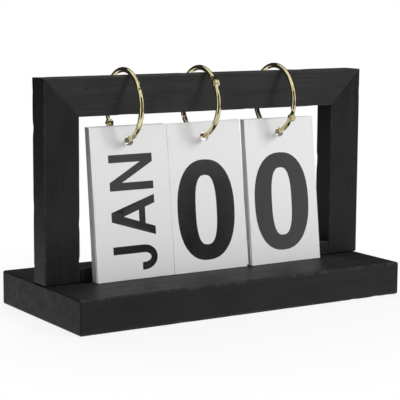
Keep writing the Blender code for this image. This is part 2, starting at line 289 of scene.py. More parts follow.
@dataclass(frozen=True)
class BlackWood:
    """Satin black stain on planed softwood, with its grain along the board and rubbed edges."""

    name: str
    run: Run
    # tone lightens or darkens the same stain: painted light and shade for how much light the board gets.
    tone: float = 1.0
    dark: Colour = (0.0080, 0.0079, 0.0080)
    light: Colour = (0.0205, 0.0202, 0.0200)
    rubbed: Colour = (0.066, 0.063, 0.060)
    end_grain: Colour = (0.0030, 0.0030, 0.0030)
    sawn: Colour = (0.0125, 0.0123, 0.0122)
    shine: float = 0.53
    gloss: float = 0.22
    fibres: Pair = (950.0, 22.0)
    streaks: Pair = (210.0, 7.0)
    scuffs: Pair = (240.0, 65.0)
    clouds: float = 38.0
    specks: float = 1500.0
    pits: float = 210.0
    chafes: float = 210.0
    blotches: Colour = (75.0, 75.0, 120.0)
    hazes: Colour = (17.0, 24.0, 20.0)
    scratches: Colour = (55.0, 14.0, 55.0)
    scratched_patches: float = 21.0
    relief: float = 0.22 * MM

    def grain(self, bench: Bench, repeats: Pair, detail: float, rough: float, warp: float = 0.0) -> Value:
        """Noise that is drawn out along the board.

        Args:
            bench: Where the nodes go.
            repeats: Repeats to a metre across the board and along it.
            detail: How many finer layers are added.
            rough: How strong each finer layer is.
            warp: How far the pattern is bent.

        Returns:
            The noise.
        """
        across, along = repeats
        scale = [across, across, across]
        scale[self.run.value] = along
        return bench.noise(tuple(scale), detail, rough, warp=warp)

    def material(self) -> bpy.types.Material:
        """Fibres and brush streaks set the colour, the shine and the relief. Rubs and edges show paler.

        Returns:
            The finish of one board.
        """
        material, bench = new_material(self.name)
        fibre = self.grain(bench, self.fibres, 4.0, 0.6)
        streak = self.grain(bench, self.streaks, 3.0, 0.55, 0.3)
        scuff = self.grain(bench, self.scuffs, 5.0, 0.68, 0.8).between(0.53, 0.78)
        cloud = bench.noise(self.clouds, 4.0, 0.6)
        speck = bench.noise(self.specks, 1.0, 0.4).between(0.74, 0.80)
        pit = bench.noise(self.pits, 1.0, 0.4, turn=(0.3, 0.2, 0.9)).between(0.76, 0.80)
        pore = fibre.between(0.44, 0.30)

        cut = bench.mark("raw_cut")
        density = fibre * 0.30 + streak * 0.30 + cloud * 0.44 - pit * 0.6 - 0.02
        # The board's tone scales the same stain lighter or darker: painted light and shade for each board.
        dark, light = (tuple(part * self.tone for part in colour) for colour in (self.dark, self.light))
        stain = bench.mix(density.between(0.30, 0.78), dark, light)
        blotch = bench.noise(self.blotches, 5.0, 0.66, turn=(0.4, 0.1, 0.0)).between(0.38, 0.66)
        sawn = bench.mix(blotch, self.end_grain, self.sawn)
        shade = bench.mix(cut * (1.0 - cloud * 0.2), stain, sawn)

        scratch_path = bench.noise(self.scratches, 1.5, 0.4, turn=(0.5, 0.7, 0.4))
        scratch_place = bench.noise(self.scratched_patches, 2.0, 0.5).between(0.56, 0.68)
        scratch = abs(scratch_path - 0.5).between(0.0045, 0.0012) * scratch_place

        edge = bench.mark("rubbed")
        chafe = bench.noise(self.chafes, 4.0, 0.65).between(0.42, 0.70)
        haze = bench.noise(self.hazes, 5.0, 0.62, turn=(0.2, 0.4, 0.6)).between(0.50, 0.74)
        broad = scuff * cloud.between(0.42, 0.68) * 0.26 + haze * (scuff + 0.4) * 0.10
        rubs = broad + scratch * 0.14 + speck * 0.20
        worn = edge * (chafe * 0.42 + 0.16) + rubs
        colour = bench.mix(worn.between(0.0, 1.0), shade, self.rubbed)

        height = fibre * 0.45 + streak * 0.4 - pore * 0.3 - scratch * 0.3 - pit * 1.5
        rough = self.shine + (streak - 0.5) * 0.22 + (cloud - 0.5) * 0.16 + pore * 0.10 + scuff * 0.08
        bench.surface({
            "Base Color": colour,
            "Roughness": rough,
            "Specular IOR Level": self.gloss,
            "Normal": bench.bump(height, self.relief, 0.5),
        })
        return material


@dataclass(frozen=True)
class PolishedBrass:
    """Bright brass plate with fine drawing lines, a few rubs and a darker tone where it is handled less."""

    name: str = "polished_brass"
    bright: Colour = (0.78, 0.70, 0.43)
    deep: Colour = (0.56, 0.475, 0.25)
    shine: float = 0.11
    clouds: float = 170.0
    lines: Colour = (2600.0, 240.0, 240.0)
    pits: float = 1900.0
    relief: float = 0.02 * MM

    def material(self) -> bpy.types.Material:
        """Clouds turn the tone, fine noise dulls the polish, and rare pits break the reflections.

        Returns:
            The finish of all rings.
        """
        material, bench = new_material(self.name)
        cloud = bench.noise(self.clouds, 4.0, 0.6)
        line = bench.noise(self.lines, 2.0, 0.5)
        pit = bench.noise(self.pits, 1.0, 0.4).between(0.70, 0.78)
        tone = cloud * 0.8 + line * 0.2
        colour = bench.mix((tone.between(0.62, 0.34) + pit * 0.4).between(0.0, 1.0), self.bright, self.deep)
        rough = self.shine + (line - 0.5) * 0.06 + cloud.between(0.55, 0.80) * 0.06 + pit * 0.20
        bench.surface({
            "Base Color": colour,
            "Metallic": 1.0,
            "Roughness": rough,
            "Normal": bench.bump(line * 0.4 + cloud * 0.6 - pit * 0.3, self.relief, 0.08),
        })
        return material


@dataclass(frozen=True)
class ZincSteel:
    """Zinc plate on small steel fasteners, blotched and a little dull."""

    name: str = "zinc_plated_steel"
    bright: Colour = (0.62, 0.63, 0.65)
    deep: Colour = (0.36, 0.37, 0.38)
    shine: float = 0.26
    blotches: float = 420.0
    lines: Colour = (300.0, 300.0, 4200.0)
    relief: float = 0.05 * MM

    def material(self) -> bpy.types.Material:
        """Plating blotches and fine turning lines set the tone and the shine.

        Returns:
            The finish of screws and nails.
        """
        material, bench = new_material(self.name)
        blotch = bench.noise(self.blotches, 4.0, 0.6)
        line = bench.noise(self.lines, 2.0, 0.5)
        bench.surface({
            "Base Color": bench.mix(blotch.between(0.35, 0.70), self.deep, self.bright),
            "Metallic": 1.0,
            "Roughness": self.shine + blotch * 0.18 + (line - 0.5) * 0.12,
            "Normal": bench.bump(line, self.relief, 0.3),
        })
        return material


@dataclass(frozen=True)
class CoatedCard:
    """Heavy white card with a satin coating, handled a little at its edges, with painted shade on its cut
    rims that is darkest along the top rim.
    """

    name: str = "coated_card"
    white: Colour = (0.800, 0.800, 0.802)
    handled: Colour = (0.66, 0.658, 0.65)
    fleck: Colour = (0.60, 0.595, 0.58)
    # rim: painted shade on the cut rims, standing in for the shadowed gaps between packed cards
    rim: Colour = (0.10, 0.098, 0.096)
    shine: float = 0.36
    gloss: float = 0.5
    clouds: float = 45.0
    smudges: Colour = (120.0, 120.0, 90.0)
    relief: float = 0.03 * MM

    def material(self) -> bpy.types.Material:
        """Paper fibres give a faint cloud and relief. Edges are greyer from handling, the cut rims get
        painted shade, and the coating varies in shine.

        Returns:
            The finish of all cards.
        """
        material, bench = new_material(self.name)
        cloud = bench.noise(self.clouds, 4.0, 0.55)
        fibre = bench.noise(PAPER_FIBRES, 3.0, 0.6)
        smudge = bench.noise(self.smudges, 3.0, 0.6)
        wear = bench.mark("rubbed") * smudge.between(0.40, 0.72) * 0.7 + cloud.between(0.52, 0.80) * 0.16
        shade = bench.mix(wear.between(0.0, 1.0), self.white, self.handled)
        flecked = bench.mix(fibre.between(0.66, 0.80) * 0.12, shade, self.fleck)
        bench.surface({
            # The rim colour on cut faces is painted shade of the gaps between the packed cards.
            "Base Color": bench.mix(bench.mark("raw_cut"), flecked, self.rim),
            "Roughness": self.shine + (smudge - 0.5) * 0.16 + (fibre - 0.5) * 0.08,
            "Specular IOR Level": self.gloss,
            "Normal": bench.bump(fibre * 0.7 + smudge * 0.3, self.relief, 0.35),
        })
        return material


@dataclass(frozen=True)
class PrintInk:
    """Black ink laid on the card's coating, slightly uneven and glossier than the card."""

    name: str = "black_print_ink"
    full: Colour = (0.0035, 0.0033, 0.0035)
    thin: Colour = (0.0110, 0.0104, 0.0108)
    shine: float = 0.20
    gloss: float = 0.74
    mottles: float = 620.0
    clouds: float = 60.0
    relief: float = 0.02 * MM

    def material(self) -> bpy.types.Material:
        """A fine mottle of the ink's density and a film that follows the paper's fibres.

        Returns:
            The finish of all prints.
        """
        material, bench = new_material(self.name)
        mottle = bench.noise(self.mottles, 3.0, 0.6)
        cloud = bench.noise(self.clouds, 3.0, 0.55)
        fibre = bench.noise(PAPER_FIBRES, 3.0, 0.6)
        density = mottle * 0.6 + cloud * 0.4
        bench.surface({
            "Base Color": bench.mix(density.between(0.40, 0.75), self.full, self.thin),
            "Roughness": self.shine + (mottle - 0.5) * 0.10 + (cloud - 0.5) * 0.08,
            "Specular IOR Level": self.gloss,
            "Normal": bench.bump(fibre * 0.6 + mottle * 0.4, self.relief, 0.3),
        })
        return material


def box_of(node: str) -> tuple[np.ndarray, np.ndarray]:
    """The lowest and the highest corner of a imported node."""
    low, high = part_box(node)
    return np.array(low), np.array(high)


@dataclass
class Shell:
    """A mesh as arrays: points, and faces as lists of point numbers.

    A point may say how rubbed it is, and a face whether it is end grain on a board, or how much painted
    shade the rim of a card carries.
    """

    points: np.ndarray
    faces: list
    rubbed: np.ndarray | None = None
    raw_cut: np.ndarray | None = None

    @staticmethod
    def joined(shells: Sequence["Shell"]) -> "Shell":
        """Puts several shells together, each still closed by itself.

        Args:
            shells: The shells, whose marks are dropped.

        Returns:
            One shell.
        """
        starts = np.cumsum([0] + [len(shell.points) for shell in shells])
        faces = []
        for shell, start in zip(shells, starts):
            faces += [(np.asarray(face) + start).tolist() for face in shell.faces]
        return Shell(np.concatenate([shell.points for shell in shells]), faces)

    def placed(self, axes: np.ndarray, origin: np.ndarray) -> "Shell":
        """The shell with its x, y and z laid along the rows of axes, from the origin."""
        return Shell(self.points @ axes + origin, self.faces, self.rubbed, self.raw_cut)


@dataclass(frozen=True)
class Piece:
    """What a finished piece is called, what carries it and what it stands for."""

    name: str
    body: str
    slot: str
    stands_for: tuple[str, ...] = ()
    sharp: float = 38.0
    doubles: float = 0.0002 * MM

    def make(self, shell: Shell, material: bpy.types.Material, cutter: Shell | None = None) -> None:
        """Makes the object at the origin, dresses it and ties it to its body.

        Args:
            shell: The surface, in the frame's own place.
            material: The finish of all of it.
            cutter: Closed shapes that are cut from it.
        """
        mesh = self.mesh_of(shell)
        if cutter:
            mesh = self.cut(mesh, self.mesh_of(cutter))
        mesh.shade_smooth()
        mesh.set_sharp_from_angle(angle=math.radians(self.sharp))
        mesh.materials.clear()
        mesh.materials.append(material)
        piece = bpy.data.objects.new(self.name, mesh)
        bpy.context.scene.collection.objects.link(piece)
        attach(piece, self.body)
        if self.stands_for:
            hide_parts(*self.stands_for)
        LOG.info("%s: %d faces on %s", self.name, len(mesh.polygons), self.body)

    def mesh_of(self, shell: Shell) -> bpy.types.Mesh:
        """Turns a shell into a mesh with merged doubles and faces that point outwards.

        Args:
            shell: The surface and its marks.

        Returns:
            The mesh, with the marks as attributes.
        """
        mesh = bpy.data.meshes.new(self.name)
        mesh.from_pydata(shell.points.tolist(), [], shell.faces)
        marks = {"rubbed": ("POINT", shell.rubbed), "raw_cut": ("FACE", shell.raw_cut)}
        for name, (domain, values) in marks.items():
            if values is not None:
                layer = mesh.attributes.new(name, "FLOAT", domain)
                layer.data.foreach_set("value", values.astype(np.float32))
        work = bmesh.new()
        work.from_mesh(mesh)
        bmesh.ops.remove_doubles(work, verts=work.verts, dist=self.doubles)
        bmesh.ops.recalc_face_normals(work, faces=work.faces)
        work.to_mesh(mesh)
        work.free()
        return mesh

    def cut(self, mesh: bpy.types.Mesh, cutter: bpy.types.Mesh) -> bpy.types.Mesh:
        """Takes the cutter's shapes out of a mesh.

        Args:
            mesh: The closed mesh that is cut.
            cutter: The closed shapes.

        Returns:
            What is left of the mesh.
        """
        links = bpy.context.scene.collection.objects
        body = bpy.data.objects.new("cut_body", mesh)
        tool = bpy.data.objects.new("cut_tool", cutter)
        links.link(body)
        links.link(tool)
        boolean = body.modifiers.new("cut", "BOOLEAN")
        boolean.operation = "DIFFERENCE"
        boolean.solver = "EXACT"
        boolean.object = tool
        graph = bpy.context.evaluated_depsgraph_get()
        result = bpy.data.meshes.new_from_object(body.evaluated_get(graph))
        result.name = self.name
        bpy.data.objects.remove(body)
        bpy.data.objects.remove(tool)
        return result


def grid_faces(rows: int, columns: int, wrap_rows: bool = False) -> list:
    """Four-sided faces between the points of a grid whose columns run round.

    Args:
        rows: Lines of points along the shape.
        columns: Points round each line. The last one joins the first.
        wrap_rows: Whether the last line joins the first too.

    Returns:
        Point numbers of each face.
    """
    row = np.arange(rows if wrap_rows else rows - 1)[:, None]
    column = np.arange(columns)[None, :]
    after = (row + 1) % rows
    beside = (column + 1) % columns
    corners = [
        row * columns + column,
        row * columns + beside,
        after * columns + beside,
        after * columns + column,
    ]
    return np.stack(np.broadcast_arrays(*corners), axis=-1).reshape(-1, 4).tolist()


def turned(profile: Loop, steps: int, closed: bool) -> Shell:
    """A profile turned about x: (x, r) becomes (x, r cos t, r sin t) for t round a full turn.

    Args:
        profile: Points of x and radius. An open one starts and ends on the axis.
        steps: Points round the turn.
        closed: Whether the profile is a loop, which leaves a bore.

    Returns:
        A closed shell.
    """
    turn = np.linspace(0.0, 2 * np.pi, steps, endpoint=False)
    along, radius = profile[:, :1], profile[:, 1:]
    points = np.stack([along + 0 * turn, radius * np.cos(turn), radius * np.sin(turn)], axis=-1)
    return Shell(points.reshape(-1, 3), grid_faces(len(profile), steps, closed))


@dataclass(frozen=True)
class Board:
    """One planed wooden member: a rectangle with rounded corners carried along the board's length."""

    node: str
    run: Run
    across: int
    ease: float
    low_end: End = End.SQUARE
    high_end: End = End.SQUARE
    # tone is painted light and shade: how much light the board gets, not a different stain.
    tone: float = 1.0
    seed: int = 1
    spacing: float = 1.5 * MM
    dents: int = 16
    unevenness: float = 0.035 * MM
    mitre_reach: float = 0.19 * MM
    mitre_ease: float = 0.06 * MM
    rub_width: float = 0.40 * MM

    CORNER_STEPS = 5
    END_STEPS = 4
    END_EASE = 0.8
    LEAST_ROUND = 0.02 * MM
    CLOSE_TO_CORNER = np.array([0.35, 0.9, 1.9]) * MM
    CAP_LOOPS = np.array([3.2, 1.4, 0.6, 0.2]) * MM
    WAVES = (2.0, 5.0, 11.0)
    WAVE_SHIFTS = (2.1, 3.7)
    DENT_SIZES = (0.7, 2.0)
    DENT_DEPTHS = (0.08, 0.36)
    DENT_STRETCH = (2.2, 1.0, 1.0)
    WEAR_FADE = 4 * MM

    def section(self, half: np.ndarray) -> tuple[Loop, Loop, np.ndarray]:
        """The rounded rectangle as core points and outward directions.

        A point of the outline is its core point plus the corner radius times its direction. Corners turn
        a quarter about one core point, and sides run straight from one core corner to the next.

        Args:
            half: Half the width and half the thickness.

        Returns:
            Core points, directions, and each point's distance from the nearest corner.
        """
        core, lead, away = [], [], []
        signs = np.array([(1, 1), (-1, 1), (-1, -1), (1, -1)])
        for corner in range(4):
            start = corner * np.pi / 2
            turn = np.linspace(start, start + np.pi / 2, self.CORNER_STEPS)
            here = signs[corner] * (half - self.ease)
            there = signs[(corner + 1) % 4] * (half - self.ease)
            side = np.linalg.norm(there - here)
            close = self.CLOSE_TO_CORNER / side
            count = max(2, round(side / (2 * self.spacing)))
            wide = np.linspace(close[-1], 1 - close[-1], count + 1)[1:-1]
            share = np.concatenate([close, wide, 1 - close[::-1]])[:, None]
            facing = np.array([np.cos(turn[-1]), np.sin(turn[-1])])
            core += [np.repeat(here[None], len(turn), 0), here + (there - here) * share]
            lead += [np.stack([np.cos(turn), np.sin(turn)], 1), np.repeat(facing[None], len(share), 0)]
            away += [np.zeros(len(turn)), np.minimum(share, 1 - share)[:, 0] * side]
        return np.concatenate(core), np.concatenate(lead), np.concatenate(away)

    def drawn_back(self, end: End, across: np.ndarray, half: float) -> np.ndarray:
        """How far an end's cut lies inside the board's longest point, for places across it."""
        cut = across + half if end is End.MITRE_FROM_LOW else half - across
        return (cut - self.mitre_reach) * abs(end.value)

    def wear(self, points: np.ndarray, lead: Loop, away: np.ndarray, from_end: np.ndarray) -> np.ndarray:
        """How far the surface lies below its true plane: slow waves of planing, and dents at the corners.

        A dent is a bell curve of the distance from its middle. Both fade out towards the two ends.

        Args:
            points: The grid, as length, width and thickness.
            lead: Outward direction at each point round the section.
            away: Distance of each point round the section from a corner.
            from_end: Distance of each point of the grid from the nearer end.

        Returns:
            Depths in metres on the grid.
        """
        draw = np.random.default_rng(self.seed)
        along = points[..., 0]
        length = np.ptp(along)
        wave = np.zeros(along.shape)
        for repeats in self.WAVES:
            phase = draw.uniform(0, 2 * np.pi, 2)
            angle = along * repeats * 2 * np.pi / length + phase[0]
            wave += np.sin(angle + lead @ self.WAVE_SHIFTS + phase[1])
        depth = self.unevenness * (wave / len(self.WAVES) + 1.0) * 0.5
        corners = np.flatnonzero(away == 0.0)
        margin = len(self.CAP_LOOPS) + self.END_STEPS + 2
        for _ in range(self.dents):
            row, column = draw.integers(margin, along.shape[0] - margin), draw.choice(corners)
            size, deep = draw.uniform(*self.DENT_SIZES) * MM, draw.uniform(*self.DENT_DEPTHS) * MM
            gap = np.linalg.norm((points - points[row, column]) / self.DENT_STRETCH, axis=-1)
            depth += deep * np.exp(-((gap / size) ** 2))
        return depth * np.clip(from_end / self.WEAR_FADE - 0.5, 0.0, 1.0)

    def end_rows(self, end: End) -> tuple[np.ndarray, np.ndarray]:
        """The loops of one end, from inside its face out to the board's sides.

        Args:
            end: How the end is cut.

        Returns:
            How far each loop lies inside the outline, and how far it lies from the end's plane.
        """
        ease = self.END_EASE * self.ease if end is End.SQUARE else self.mitre_ease
        bend = np.linspace(0.0, np.pi / 2, self.END_STEPS)
        inset = np.concatenate([ease + self.CAP_LOOPS, ease * (1 - np.sin(bend))])
        setback = np.concatenate([0 * self.CAP_LOOPS, ease * (1 - np.cos(bend))])
        return inset, setback

    def shell(self) -> Shell:
        """The board: its outline at stations along the length, drawn in over the two ends.

        Returns:
            A closed shell in place, rubbed near its edges and marked at its sawn ends.
        """
        low, high = box_of(self.node)
        order = [self.run.value, self.across, 3 - self.run.value - self.across]
        middle, half = ((low + high) / 2)[order], ((high - low) / 2)[order]
        core, lead, away = self.section(half[1:])
        low_inset, low_setback = self.end_rows(self.low_end)
        high_inset, high_setback = self.end_rows(self.high_end)
        between = np.linspace(0, 1, int(2 * half[0] / self.spacing))[1:-1]
        share = np.concatenate([0 * low_inset, between, 1 + 0 * high_inset])
        inset = np.concatenate([low_inset, 0 * between, high_inset[::-1]])
        setback = np.concatenate([low_setback, 0 * between, -high_setback[::-1]])
        beyond = np.maximum(inset - self.ease, 0.0)[:, None, None]
        inner = np.sign(core) * np.maximum(np.abs(core) - beyond, 0.0)
        outline = inner + np.maximum(self.ease - inset, self.LEAST_ROUND)[:, None, None] * lead
        first = -half[0] + self.drawn_back(self.low_end, outline[..., 0], half[1])
        last = half[0] - self.drawn_back(self.high_end, outline[..., 0], half[1])
        along = first + (last - first) * share[:, None] + setback[:, None]
        points = np.concatenate([along[..., None], outline], axis=-1)
        from_end = np.minimum(along - first, last - along)
        depth = self.wear(points, lead, away, from_end)
        points[..., 1:] -= depth[..., None] * lead

        square = np.where(share < 0.5, self.low_end is End.SQUARE, self.high_end is End.SQUARE)[:, None]
        tip = np.exp(-from_end / self.rub_width) * square
        inside_cap = np.exp(-np.maximum(inset - self.END_EASE * self.ease, 0.0) / self.rub_width)[:, None]
        rubbed = np.maximum(np.exp(-away / self.rub_width), tip) * inside_cap
        rows, columns = depth.shape
        placed = np.empty((rows * columns, 3))
        placed[:, order] = points.reshape(-1, 3) + middle
        faces = grid_faces(rows, columns)
        faces += [list(range(columns)), list(range((rows - 1) * columns, rows * columns))]
        in_cap = (inset[:-1] > 0) & (inset[1:] > 0)
        raw_cut = np.append(np.repeat(in_cap, columns), [True, True])
        return Shell(placed, faces, rubbed.reshape(-1), raw_cut)


def carried(outline: Loop, low: float, high: float) -> Shell:
    """An outline carried straight along y.

    Args:
        outline: A closed loop of x and z points.
        low: Where it starts.
        high: Where it ends.

    Returns:
        A closed shell with flat ends.
    """
    planes = np.array([low, high])[:, None]
    across, up = outline[:, 0], outline[:, 1]
    points = np.stack([across + 0 * planes, planes + 0 * across, up + 0 * planes], -1)
    count = len(outline)
    faces = grid_faces(2, count) + [list(range(count)), list(range(count, 2 * count))]
    return Shell(points.reshape(-1, 3), faces)


@dataclass(frozen=True)
class Screw:
    """A countersunk wood screw, head down, with a cross recess in its head."""

    node: str
    dish: float = 0.25 * MM
    rim: float = 0.15 * MM
    slot: float = 0.55 * MM
    slot_reach: float = 1.75 * MM
    slot_wall: float = 0.3 * MM
    slot_depth: float = 1.5 * MM
    past: float = 1.0 * MM
    thread: float = 0.28 * MM
    pitch: float = 1.35 * MM
    blunt: float = 0.15

    STEPS = 36
    DISH_STEPS = 7

    def body(self) -> tuple[Shell, np.ndarray]:
        """The screw as one turned profile.

        From the head's middle the profile rises over the dished face, follows the 45 degree cone, and runs
        up the shank with a row of thread ridges to a blunt point.

        Returns:
            The shell and the middle of the head's face.
        """
        low, high = box_of(self.node)
        head = (high[0] - low[0]) / 2
        shank = head / 2
        face = np.array([(low[0] + high[0]) / 2, (low[1] + high[1]) / 2, low[2]])
        tall = high[2] - low[2]
        share = np.linspace(0.0, 1.0, self.DISH_STEPS)
        dish = np.stack([self.dish * (1 - share**2), head * share], 1)
        root = shank - self.thread
        ridge = np.arange(head - shank + 2 * self.pitch, tall - 3 * self.pitch, self.pitch)
        thread = np.stack([
            np.stack([ridge, ridge + 0.25 * self.pitch, ridge + 0.5 * self.pitch], 1),
            np.stack([0 * ridge + root, 0 * ridge + shank, 0 * ridge + root], 1),
        ], -1).reshape(-1, 2)
        neck = np.array([(self.rim, head), (head - shank, shank), (head - shank + self.pitch, shank)])
        tip = np.array([(tall - 2 * self.pitch, root), (tall, self.blunt * shank), (tall, 0.0)])
        profile = np.concatenate([dish, neck, thread, tip])
        return turned(profile, self.STEPS, False).placed(UPRIGHT_AXES, face), face

    def recess(self, face: np.ndarray) -> Shell:
        """A cross carried up into the head, with arms that draw in towards its bottom.

        One arm has three corners. Quarter turns of it about the screw's line give the other three arms.

        Args:
            face: The middle of the head's face.

        Returns:
            The closed shape that is cut from the head.
        """
        wall = self.slot / 2
        height = np.array([-self.past, self.slot_wall, self.slot_depth])
        reach = self.slot_reach * np.array([1.0, 1.0, 0.5])
        arms = np.array([[(far, -wall), (far, wall), (wall, wall)] for far in reach])
        quarter = np.array([(0.0, 1.0), (-1.0, 0.0)])
        turns = [arms @ np.linalg.matrix_power(quarter, turn) for turn in range(4)]
        cross = np.stack(turns, 1)
        levels, corners = len(height), cross[0].size // 2
        points = np.c_[cross.reshape(-1, 2), np.repeat(height, corners)] + face
        ends = [list(range(corners)), list(range((levels - 1) * corners, levels * corners))]
        return Shell(points, grid_faces(levels, corners) + ends)

    def build(self, steel: bpy.types.Material) -> None:
        """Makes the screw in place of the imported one.

        Args:
            steel: Its finish.
        """
        shell, face = self.body()
        piece = Piece(f"{self.node}_turned", "stand", "steel", (self.node,))
        piece.make(shell, steel, self.recess(face))


@dataclass(frozen=True)
class Stand:
    """The base board and the mitred frame on it, with their screws and corner nails."""

    base_ease: float = 1.3 * MM
    frame_ease: float = 0.55 * MM
    hole_room: float = 0.2 * MM
    nail: float = 0.9 * MM
    slot_room: float = 0.12 * MM
    past: float = 1.0 * MM

    HOLE_STEPS = 40

    def boards(self) -> list[Board]:
        """The five wooden members.

        Returns:
            The base, the two stiles, and the top and bottom rails.
        """
        side, up = Run.SIDEWAYS, Run.UPWARDS
        from_low, from_high = End.MITRE_FROM_LOW, End.MITRE_FROM_HIGH
        ease = self.frame_ease
        return [
            # The tones are painted light and shade on one stain: lighter on the top rail, the left stile and
            # the base, darker on the right stile.
            Board("base_board", side, 1, self.base_ease, tone=1.08, seed=11, dents=30, spacing=1.7 * MM),
            Board("frame_left_stile", up, 0, ease, high_end=from_low, tone=1.1, seed=23),
            Board("frame_right_stile", up, 0, ease, high_end=from_high, tone=0.9, seed=31),
            Board("frame_top_rail", side, 2, ease, from_high, from_high, tone=2.0, seed=47),
            Board("frame_bottom_rail", side, 2, ease, seed=59, dents=3),
        ]

    def screw_holes(self, screws: list[str]) -> Shell:
        """Bores for the screws, turned about z: wide to the head, a 45 degree seat, and room for the shank.

        Args:
            screws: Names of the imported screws.

        Returns:
            One closed shape for each screw, from below the base to past the screw's tip.
        """
        holes = []
        for name in screws:
            low, high = box_of(name)
            head = (high[0] - low[0]) / 2
            shank = head / 2
            wide, narrow = head + self.hole_room, shank + self.hole_room
            seat, top = low[2] + self.hole_room, high[2] + self.hole_room
            wall = [
                (-self.past, 0.0),
                (-self.past, wide),
                (seat, wide),
                (seat + head - shank, narrow),
                (top, narrow),
                (top, 0.0),
            ]
            middle = np.array([(low[0] + high[0]) / 2, (low[1] + high[1]) / 2, 0.0])
            holes.append(turned(np.array(wall), self.HOLE_STEPS, False).placed(UPRIGHT_AXES, middle))
        return Shell.joined(holes)

    def nail_slots(self, nails: list[str]) -> Shell:
        """L-shaped slots for the corner nails, open at the frame's back.

        An L has its corner at the nail's outer top, and its legs are as thick as the nail and its room.

        Args:
            nails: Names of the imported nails.

        Returns:
            One closed shape for each nail.
        """
        slots = []
        for name in nails:
            low, high = box_of(name)
            side = np.sign(low[0])
            reach = high[2] - low[2] + 2 * self.slot_room
            wall = self.nail + 2 * self.slot_room
            steps = [(0, 0), (reach, 0), (reach, wall), (wall, wall), (wall, reach), (0, reach)]
            corner = np.array([max(abs(low[0]), abs(high[0])) + self.slot_room, high[2] + self.slot_room])
            outline = (corner - np.array(steps)) * (side, 1.0)
            slots.append(carried(outline, low[1] - self.slot_room, high[1] + self.past))
        return Shell.joined(slots)

    def build(self) -> None:
        """Makes the bored and slotted boards and the screws, and dresses the nails in the frame's back."""
        steel = ZincSteel().material()
        screws = [name for name in frame["nodes"] if "_screw_" in name]
        nails = [name for name in frame["nodes"] if name.startswith("mitre_nail")]
        bores, slots = self.screw_holes(screws), self.nail_slots(nails)
        both = Shell.joined([bores, slots])
        cutters = {
            "base_board": bores,
            "frame_left_stile": both,
            "frame_right_stile": both,
            "frame_top_rail": slots,
            "frame_bottom_rail": bores,
        }
        for board in self.boards():
            piece = Piece(f"{board.node}_planed", "stand", "black_wood", (board.node,))
            # Each board gets its own copy of the black wood, lit or shaded by its painted tone.
            wood = BlackWood(f"black_wood_{board.node}", board.run, board.tone).material()
            piece.make(board.shell(), wood, cutters[board.node])
        for name in screws:
            Screw(name).build(steel)
        for name in nails:
            frame["nodes"][name].data.materials.clear()
            frame["nodes"][name].data.materials.append(steel)


def joint_point(name: str, key: str) -> np.ndarray:
    """A joint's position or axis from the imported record."""
    return np.array(next(joint[key] for joint in frame["joints"] if joint["name"] == name), float)


